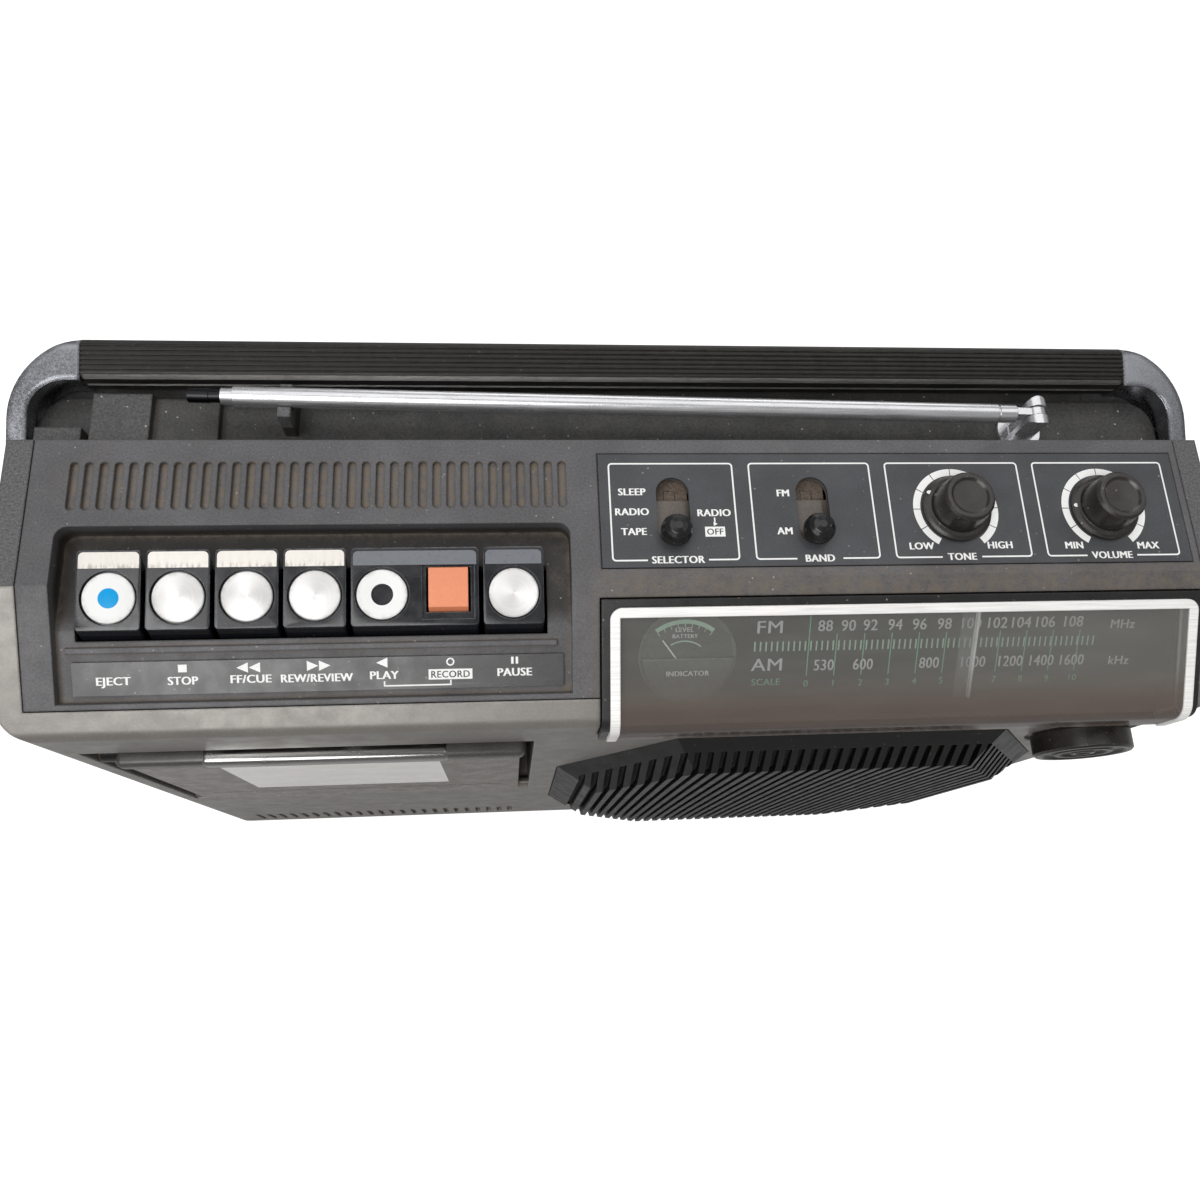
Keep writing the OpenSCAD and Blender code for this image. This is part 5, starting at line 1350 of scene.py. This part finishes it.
@dataclass
class KeyPrint:
    """White print on the label strip below the keys."""

    depth: float = -1.4
    cap: float = 1.93
    bold: float = 0.08
    words: tuple[tuple[str, float, float, float], ...] = (
        ("EJECT", -123.8, -23.0, 1.06), ("STOP", -108.2, -22.9, 1.0), ("FF/CUE", -92.7, -22.8, 1.05),
        ("REW/REVIEW", -77.5, -22.9, 0.98), ("PLAY", -61.8, -22.6, 1.04), ("PAUSE", -30.85, -22.5, 1.03))
    triangles: tuple[Triple, ...] = (
        (-94.2, -20.1, 90), (-91.4, -20.1, 90), (-78.9, -20.0, -90), (-76.1, -20.0, -90), (-61.9, -19.6, 90))
    triangle_size: Pair = (3.5, 2.8)
    bars: tuple[Sides, ...] = (
        (-109.2, -20.9, -107.2, -19.1), (-31.7, -20.5, -31.1, -18.8), (-30.6, -20.5, -30.0, -18.8),
        (-62.0, -25.4, -46.0, -25.05), (-62.0, -25.2, -61.65, -24.1), (-46.35, -25.2, -46.0, -24.1),
        (-51.4, -23.95, -41.0, -21.45))
    ring_place: Pair = (-46.2, -19.7)
    ring: Pair = (0.62, 0.98)
    record: tuple[str, float, float, float, float] = ("RECORD", -46.2, -22.7, 1.65, 0.96)

    def build(self) -> None:
        """Draw the words, the symbols and the bracket."""
        ink = Print("key_print", CASE.slope(), "white_ink", height=self.depth + 0.03)
        for text, x, y, wide in self.words:
            ink.word(text, x, y, self.cap, wide, self.bold)
        for x, y, turn in self.triangles:
            ink.spot(x, y, *self.triangle_size, 3, turn)
        ink.arc(*self.ring_place, *self.ring, 0, 360, 24)
        for sides in self.bars:
            ink.bar(sides)
        ink.done()
        dark = Print("key_dark_print", CASE.slope(), "dark_ink", height=self.depth + 0.06)
        dark.word(*self.record)
        dark.done()


@dataclass
class DialPrint:
    """Print on the dial scale and the level meter."""

    fm: tuple[tuple[str, float], ...] = (
        ("88", 47.5), ("90", 53.5), ("92", 59.2), ("94", 65.7), ("96", 72.1), ("98", 78.7), ("100", 85.9),
        ("102", 92.9), ("104", 99.3), ("106", 105.8), ("108", 113.4))
    am: tuple[tuple[str, float], ...] = (
        ("530", 47.9), ("600", 58.2), ("800", 75.8), ("1000", 87.7), ("1200", 97.8), ("1400", 106.3), ("1600", 114.6))
    number_cap: float = 2.95
    number_y: Pair = (-4.4, -15.0)
    number_wide: Pair = (0.9, 0.82)
    bands: tuple[tuple[str, float, float, float, float, float], ...] = (
        ("FM", 33.2, -4.5, 3.35, 1.18, 0.02), ("AM", 32.9, -14.6, 3.35, 1.18, 0.02))
    units: tuple[tuple[str, float, float, float], ...] = (("MHz", 127.0, -5.3, 2.4), ("kHz", 127.6, -15.4, 2.4))
    log_word: tuple[str, float, float] = ("SCALE", 33.0, -19.3)
    log_cap: float = 1.8
    log_count: int = 11
    log_first: float = 43.5
    log_pitch: float = 7.2
    log_y: float = -20.0
    log_line: Triple = (-17.9, -6.6, -1.6)
    log_half: float = 0.14
    ticks: Pair = (29.6, 119.9)
    tick_pitch: float = 1.45
    tick_y: Pair = (-11.0, -8.4)
    tick_half: float = 0.2
    meter: Pair = (11.5, -14.2)
    meter_height: float = 0.55
    meter_ticks: int = 9
    meter_tick_r: float = 10.7
    meter_start: float = 52.0
    meter_pitch: float = 9.5
    meter_tick: Pair = (0.1, 0.5)
    meter_arcs: tuple[tuple[float, float, float, float, int], ...] = (
        (11.2, 12.3, 52.0, 128.0, 20), (6.4, 6.75, 50.0, 122.0, 16))
    meter_words: tuple[tuple[str, float, float, float], ...] = (
        ("LEVEL", 11.4, -4.6, 1.2), ("BATTERY", 11.6, -6.3, 1.05))
    meter_bold: float = 0.05

    def _numbers(self) -> None:
        """Print the two bands and the words beside them."""
        white = Print("dial_print", CASE.scale(), "dial_ink")
        for word in self.bands:
            white.word(*word)
        for band, y, wide in zip((self.fm, self.am), self.number_y, self.number_wide):
            for text, x in band:
                white.word(text, x, y, self.number_cap, wide)
        for word in self.units:
            white.word(*word)
        white.done()

    def _lines(self) -> None:
        """Print the row of ticks, the long lines and the numbered scale."""
        row = Print("dial_ticks", CASE.scale(), "tick_ink")
        count = int((self.ticks[1] - self.ticks[0]) / self.tick_pitch)
        for i in range(count + 1):
            x = self.ticks[0] + i * self.tick_pitch
            row.bar((x - self.tick_half, self.tick_y[0], x + self.tick_half, self.tick_y[1]))
        row.done()
        green = Print("dial_green_print", CASE.scale(), "green_ink")
        green.word(*self.log_word, self.log_cap)
        foot, top, first_top = self.log_line
        for i in range(self.log_count):
            x = self.log_first + i * self.log_pitch
            green.bar((x - self.log_half, foot, x + self.log_half, top if i else first_top))
            green.word(str(i), x, self.log_y, self.log_cap)
        green.done()

    def _meter(self) -> None:
        """Print the bands of the level meter."""
        face = Print("meter_print", CASE.scale(), "tick_ink", height=self.meter_height)
        cx, cy = self.meter
        for arc in self.meter_arcs:
            face.arc(cx, cy, *arc)
        wide, high = self.meter_tick
        for i in range(self.meter_ticks):
            a = math.radians(self.meter_start + i * self.meter_pitch)
            x, y = cx + self.meter_tick_r * math.cos(a), cy + self.meter_tick_r * math.sin(a)
            face.bar((x - wide, y - high, x + wide, y + high), math.degrees(a) - 90)
        face.done()
        words = Print("meter_words", CASE.scale(), "dial_ink", height=self.meter_height)
        for word in self.meter_words:
            words.word(*word, bold=self.meter_bold)
        words.done()

    def build(self) -> None:
        """Draw the numbers, ticks, lines and the meter face."""
        self._numbers()
        self._lines()
        self._meter()


@dataclass
class MeterCover:
    """Cover over the pivot of the level meter's needle, with its word."""

    middle: Pair = (12.3, -11.5)
    radius: float = 11.7
    upper_edge: float = -11.7
    foot: float = 0.5
    top: float = 2.3
    wall: float = 0.35
    rounding: float = 0.5
    word_y: float = -15.6
    word_cap: float = 1.35
    word_bold: float = 0.06

    def build(self) -> None:
        """Model the cover as a thin shell that stands on the meter's face."""
        deselect()
        bpy.ops.mesh.primitive_cylinder_add(vertices=72, radius=self.radius * MM, depth=(self.top - self.foot) * MM)
        item = made("meter_cover")
        item.data.transform(Matrix.Translation((0, 0, (self.top + self.foot) / 2 * MM)))
        with Bench(item) as bench:
            cut = (self.upper_edge - self.middle[1]) * MM
            bpy.ops.mesh.bisect(plane_co=(0, cut, 0), plane_no=(0, 1, 0), clear_outer=True)
            bench.faces(lambda c: c.z < (self.foot + 0.01) * MM)
            bpy.ops.mesh.delete(type="FACE")
            high, behind = (self.top - 0.01) * MM, cut - 0.01 * MM
            bench.edges(lambda a, b: min(a.z, b.z) > high and min(a.y, b.y) < behind)
            bench.bevel(self.rounding, 3)
        pick(item)
        shell = item.modifiers.new("wall", "SOLIDIFY")
        shell.thickness = self.wall * MM
        shell.offset = -1.0
        bpy.ops.object.modifier_apply(modifier=shell.name)
        smooth(item)
        item.data.transform(CASE.scale() @ Matrix.Translation((self.middle[0] * MM, self.middle[1] * MM, 0)))
        ride(item, FINISH.made["meter_plastic"], "case")
        word = Print("meter_cover_word", CASE.scale(), "dial_ink", height=self.top + 0.03)
        word.word("INDICATOR", self.middle[0], self.word_y, self.word_cap, bold=self.word_bold)
        word.done()


@dataclass
class KeyBank:
    """Key caps with rounded corners, and the metal discs in them."""

    pitch: float = 15.55
    first: float = -131.3
    width: float = 14.4
    pivot_y: float = 29.0
    pivot_drop: float = 18.0
    length: float = 18.6
    corner: float = 1.3
    lip: float = 0.28
    foil: Pair = (4.6, 8.0)
    foil_corner: float = 1.1
    foil_margin: float = 0.5
    keys: tuple[tuple[str, int], ...] = (
        ("eject", 0), ("stop", 1), ("fast_forward", 2), ("rewind", 3), ("play", 4), ("pause", 6))
    white: tuple[str, ...] = ("eject", "play")
    smoked: tuple[str, ...] = ("play", "pause")
    dot_tone: Triple = (0, 150, 212)
    dot_r: float = 2.35

    def _span(self, key: str, place: int) -> Pair:
        """Left and right side of a key; the play key reaches over two places."""
        left = self.first + place * self.pitch
        return left, left + self.width + (self.pitch if key == "play" else 0.0)

    def _radius(self, point: Vector) -> float:
        """Distance of a point from the key shaft, in millimetres."""
        return math.hypot(point.y / MM - CASE.ridge - self.pivot_y, point.z / MM - CASE.top + self.pivot_drop)

    def _cap(self, key: str, place: int) -> None:
        """Round the upright corners and the top edges of one key.

        Args:
            key: Name of the key.
            place: Its number in the row.
        """
        item = copy_of(key + "_key", key + "_cap")
        sides = self._span(key, place)
        rear = CASE.at(0, CASE.key_rear_y, CASE.top - CASE.key_rear_drop)
        tilt = math.radians(CASE.key_deg)
        front = rear - Vector((0, math.cos(tilt), math.sin(tilt))) * self.length * MM
        arcs = (self._radius(rear), self._radius(front))

        def off_side(point: Vector) -> float:
            """Distance of a point from the nearer side of the cap."""
            return min(abs(point.x / MM - side) for side in sides)

        def off_top(point: Vector) -> float:
            """Distance of a point from the height of the key top."""
            return abs(point.z / MM - CASE.key_top(point.y / MM - CASE.ridge))

        def upright(a: Vector, b: Vector) -> bool:
            """True for an edge along an upright corner."""
            ends = (self._radius(a), self._radius(b))
            return (max(off_side(a), off_side(b)) < 0.02 and abs(a.x - b.x) < 1e-6
                    and any(max(abs(end - arc) for end in ends) < 0.03 for arc in arcs))

        def rim(a: Vector, b: Vector) -> bool:
            """Tell whether an edge runs round the key top.

            Args:
                a: One end of the edge.
                b: Its other end.

            Returns:
                True for such an edge.
            """
            if max(off_top(a), off_top(b)) > 0.01:
                return False
            middle = (a + b) / 2
            side, end = off_side(middle), min(abs(self._radius(middle) - arc) for arc in arcs)
            return side < 0.02 or end < 0.05 or (side < self.corner + 0.02 and end < self.corner + 0.05)

        with Bench(item) as bench:
            if bench.edges(upright):
                bench.bevel(self.corner, 5, clamp=True)
            if bench.edges(rim):
                bench.bevel(self.lip, 3, clamp=True)
        smooth(item, 32.0)
        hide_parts(key + "_key")
        ride(item, FINISH.made["key_plastic"], key)

    def _face(self, key: str, metal: Material) -> None:
        """Round the rear corners of the foil behind a disc.

        Args:
            key: Name of the key.
            metal: Finish of the disc and the foil.
        """
        item = copy_of(key + "_disc", key + "_face")
        low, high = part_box(key + "_disc")
        rear = high.y - 0.2 * MM

        def corner(a: Vector, b: Vector) -> bool:
            """True for an upright edge at a rear corner of the foil."""
            ends = min(abs(a.x - low.x), abs(a.x - high.x)) < 1e-5
            return ends and abs(a.x - b.x) < 1e-6 and min(a.y, b.y) > rear

        with Bench(item) as bench:
            if bench.edges(corner):
                bench.bevel(self.foil_corner, 5, clamp=True)
        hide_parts(key + "_disc")
        ride(item, metal, key)

    def build(self) -> None:
        """Make the caps and dress the discs."""
        for key, place in self.keys:
            self._cap(key, place)
            left, right = self._span(key, place)
            x = left + self.width / 2
            # Each disc's painted highlight lies at its own turn.
            metal = SpunDisc(key + "_disc_metal", x, turn=0.35 + 0.5 * (place % 3), white=key in self.white,
                             dot=self.dot_tone if key == "eject" else None, dot_r=self.dot_r).build()
            dress(frame["nodes"][key + "_disc"], metal)
            LOG.info("solid %s_disc wears turned metal", key)
            # The play and pause keys get a grey strip, a painted sheen on black glossy plastic.
            if key in self.smoked:
                strip = Print(key + "_strip", CASE.key(x, 0.0), "smoked_foil")
                strip.tab((left - x + self.foil_margin, self.foil[0], right - x - self.foil_margin, self.foil[1]),
                          self.foil_corner)
                strip.done(key)
            else:
                self._face(key, metal)


def block(name: str, low: Triple, high: Triple, bevel: float, steps: int = 3) -> Piece:
    """Model a block with rounded edges.

    Args:
        name: Name of the piece.
        low: Lowest corner in case millimetres.
        high: Highest corner in case millimetres.
        bevel: Radius of the edges.
        steps: Faces across a rounded edge.

    Returns:
        The finished mesh, at the origin.
    """
    deselect()
    bpy.ops.mesh.primitive_cube_add(size=1.0)
    item = made(name)
    item.data.transform(between(CASE.at(*low), CASE.at(*high)))
    with Bench(item) as bench:
        bench.bevel(bevel, steps, clamp=True)
    smooth(item)
    return item


@dataclass
class DoorBar:
    """Pull bar along the top of the cassette door, with a polished sleeve in its middle."""

    ends: Pair = (-132.0, -28.3)
    sleeve: Pair = (-111.0, -48.0)
    depth: Pair = (-36.3, -31.2)
    height: Pair = (176.7, 182.9)
    wall: Pair = (0.3, 0.2)
    edge: float = 1.5

    def build(self) -> None:
        """Model the bar and its sleeve."""
        front, back = self.depth
        low, high = self.height
        thick, rise = self.wall
        bar = block("door_bar", (self.ends[0], front + thick, low + rise), (self.ends[1], back, high - rise),
                    self.edge, 5)
        ride(bar, FINISH.made["door_bar_paint"], "door")
        sleeve = block("door_bar_sleeve", (self.sleeve[0], front, low), (self.sleeve[1], back, high), self.edge, 5)
        ride(sleeve, FINISH.made["polished_black"], "door")


@dataclass
class SlotFloors:
    """Dusty guide plates in the lever slots, each with a slit and a dusty strip in it."""

    places: tuple[tuple[str, float], ...] = (("selector", 8.7), ("band", 44.1))
    size: Pair = (9.2, 21.0)
    rim: float = 3.1
    top_drop: float = 4.7
    thick: float = 1.0
    edge: float = 0.12
    strip_half: float = 1.45
    strip_y: Pair = (12.5, 24.55)
    strip_drop: Pair = (5.6, 4.78)
    strip_edge: float = 0.1

    def build(self) -> None:
        """Model a plate and a strip for each lever."""
        dusty = FINISH.made["guide_plastic"]
        for name, x in self.places:
            deselect()
            bpy.ops.mesh.primitive_plane_add(size=1.0)
            item = made(name + "_guide_plate")
            place = Matrix.Translation(CASE.at(x, CASE.control_y, CASE.top - self.top_drop))
            item.data.transform(place @ Matrix.Diagonal((self.size[0] * MM, self.size[1] * MM, 1, 1)))
            with Bench(item) as bench:
                bpy.ops.mesh.inset(thickness=self.rim * MM)
                bpy.ops.mesh.delete(type="FACE")
                bench.thicken(-self.thick)
                bench.bevel(self.edge, 1)
            ride(item, dusty, "case")
            strip = block(name + "_dust_strip", (x - self.strip_half, self.strip_y[0], CASE.top - self.strip_drop[0]),
                          (x + self.strip_half, self.strip_y[1], CASE.top - self.strip_drop[1]), self.strip_edge, 1)
            ride(strip, dusty, "case")
            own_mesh(strip)


@dataclass
class GripRest:
    """Ends of the ledge behind the case, on which the folded grip lies."""

    inner: float = 131.6
    outer: float = 149.0
    depth: Pair = (54.6, 61.5)
    height: Pair = (195.5, 202.2)
    edge: float = 1.2

    def build(self) -> None:
        """Model an end for each side."""
        for name, xs in (("left", (-self.outer, -self.inner)), ("right", (self.inner, self.outer))):
            low, high = zip(xs, self.depth, self.height)
            ride(block(name + "_rest_end", low, high, self.edge), FINISH.made["case_plastic"], "case")


@dataclass
class GripBeads:
    """Two shiny beads along the front of the grip."""

    half: float = 137.6
    places: tuple[tuple[str, float, float], ...] = (("upper", 57.59, 213.55), ("lower", 57.52, 210.5))
    radius: float = 0.75
    rounding: float = 0.4

    def build(self) -> None:
        """Model each bead with rounded ends."""
        end = (self.half - 0.01) * MM
        for name, y, z in self.places:
            deselect()
            bpy.ops.mesh.primitive_cylinder_add(vertices=20, radius=self.radius * MM, depth=2 * self.half * MM)
            item = made(name + "_grip_bead")
            item.data.transform(Matrix.Translation(CASE.at(0, y, z)) @ Matrix.Rotation(math.radians(90), 4, "Y"))
            with Bench(item) as bench:
                bench.edges(lambda a, b: min(abs(a.x), abs(b.x)) > end)
                bench.bevel(self.rounding, 3)
            smooth(item)
            ride(item, FINISH.made["shiny_lip"], "handle")


@dataclass
class KnobMarks:
    """White index marks on the flanges of the two knobs."""

    flange_z: float = 1.62
    radius: float = 8.05
    size: Pair = (1.5, 1.0)
    angles: Pair = (150.0, 178.0)

    def build(self) -> None:
        """Print one mark on each knob."""
        for (body, x), angle in zip(CASE.knobs, self.angles):
            mark = Print(body + "_mark", CASE.flat(), "white_ink", height=self.flange_z)
            a = math.radians(angle)
            mark.spot(x + self.radius * math.cos(a), CASE.control_y + self.radius * math.sin(a), *self.size, 20)
            mark.done(body)


@dataclass
class Studio:
    """Pale floor, soft light and the camera."""

    eye: Triple = (-32.838, -75.960, 224.011)
    right: Triple = (0.99538032, -0.04291736, 0.08588434)
    down: Triple = (-0.01503370, -0.95316691, -0.30207089)
    ahead: Triple = (0.09482620, 0.29938426, -0.94940879)
    lens: float = 29.782
    sky: float = 0.34
    floor_size: float = 12.0
    floor_glow: float = 0.8
    lights: tuple[tuple[str, Triple, Triple, Pair, float], ...] = (
        ("front_light", (-0.65, -0.75, 1.75), (0.0, 0.0, 0.2), (1.3, 0.9), 23.0),
        ("overhead_light", (0.1, 0.6, 1.7), (0.0, 0.0, 0.2), (2.4, 1.2), 10.5),
        ("back_light", (0.4, 2.2, 0.8), (0.0, 0.0, 0.1), (1.6, 1.0), 9.0))

    def _floor(self) -> None:
        """Lay a wide floor that the camera sees as white."""
        deselect()
        bpy.ops.mesh.primitive_plane_add(size=self.floor_size)
        floor = made("studio_floor")
        s = Shader("studio_paper")
        seen = s.add("ShaderNodeLightPath").outputs["Is Camera Ray"]
        s.feed(Base_Color=shade(WHITE, 0.45), Roughness=0.9, Emission_Color=s.mix(seen, shade(WHITE, 0.05), WHITE),
               Emission_Strength=self.floor_glow)
        dress(floor, s.material)

    @staticmethod
    def _light(name: str, place: Triple, aim: Triple, size: Pair, power: float) -> None:
        """Hang a soft rectangular light.

        Args:
            name: Name of the light.
            place: Where it hangs.
            aim: Where it points.
            size: Width and height.
            power: Watts.
        """
        deselect()
        bpy.ops.object.light_add(type="AREA", location=place)
        lamp = bpy.context.object
        lamp.name = name
        lamp.data.shape = "RECTANGLE"
        lamp.data.size, lamp.data.size_y = size
        lamp.data.energy = power
        lamp.rotation_euler = (Vector(aim) - Vector(place)).to_track_quat("-Z", "Y").to_euler()

    def _world(self) -> None:
        """Set a dim sky that the camera sees as white."""
        world = bpy.data.worlds.new("studio_sky")
        bpy.context.scene.world = world
        world.use_nodes = True
        sky = Graph(world.node_tree)
        dim = sky.put(sky.tree.nodes["Background"], {"Color": WHITE, "Strength": self.sky})
        plain = sky.add("ShaderNodeBackground", {"Color": WHITE, "Strength": 1.0})
        seen = sky.add("ShaderNodeLightPath").outputs["Is Camera Ray"]
        both = sky.add("ShaderNodeMixShader", {0: seen, 1: dim.outputs[0], 2: plain.outputs[0]})
        sky.put(sky.tree.nodes["World Output"], {"Surface": both.outputs[0]})
        view = bpy.context.scene.view_settings
        view.view_transform = "Standard"
        view.look = "None"

    def _camera(self) -> None:
        """Set up the camera."""
        deselect()
        bpy.ops.object.camera_add()
        camera = bpy.context.object
        turn = Matrix([Vector(self.right), -Vector(self.down), -Vector(self.ahead)]).transposed().to_4x4()
        x, y, above = self.eye
        camera.matrix_world = Matrix.Translation(CASE.at(x, y, CASE.top + above)) @ turn
        camera.data.sensor_fit = "HORIZONTAL"
        camera.data.sensor_width = 36.0
        camera.data.lens = self.lens
        camera.data.clip_start = 0.01
        bpy.context.scene.camera = camera

    def build(self) -> None:
        """Set floor, lights, world, view and camera."""
        self._floor()
        for light in self.lights:
            self._light(*light)
        self._world()
        self._camera()


def main() -> None:
    """Build the studio, the finishes and the dressed pieces."""
    logging.basicConfig(level=logging.INFO, format="%(name)s: %(message)s")
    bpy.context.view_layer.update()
    deselect()
    for assembly in (Studio(), FINISH, KeyBank(), ControlPrint(), KeyPrint(), DialPrint(), MeterCover(), KnobMarks(),
                     DoorBar(), SlotFloors(), GripRest(), GripBeads()):
        assembly.build()
    bpy.context.view_layer.update()


if __name__ == "__main__":
    main()
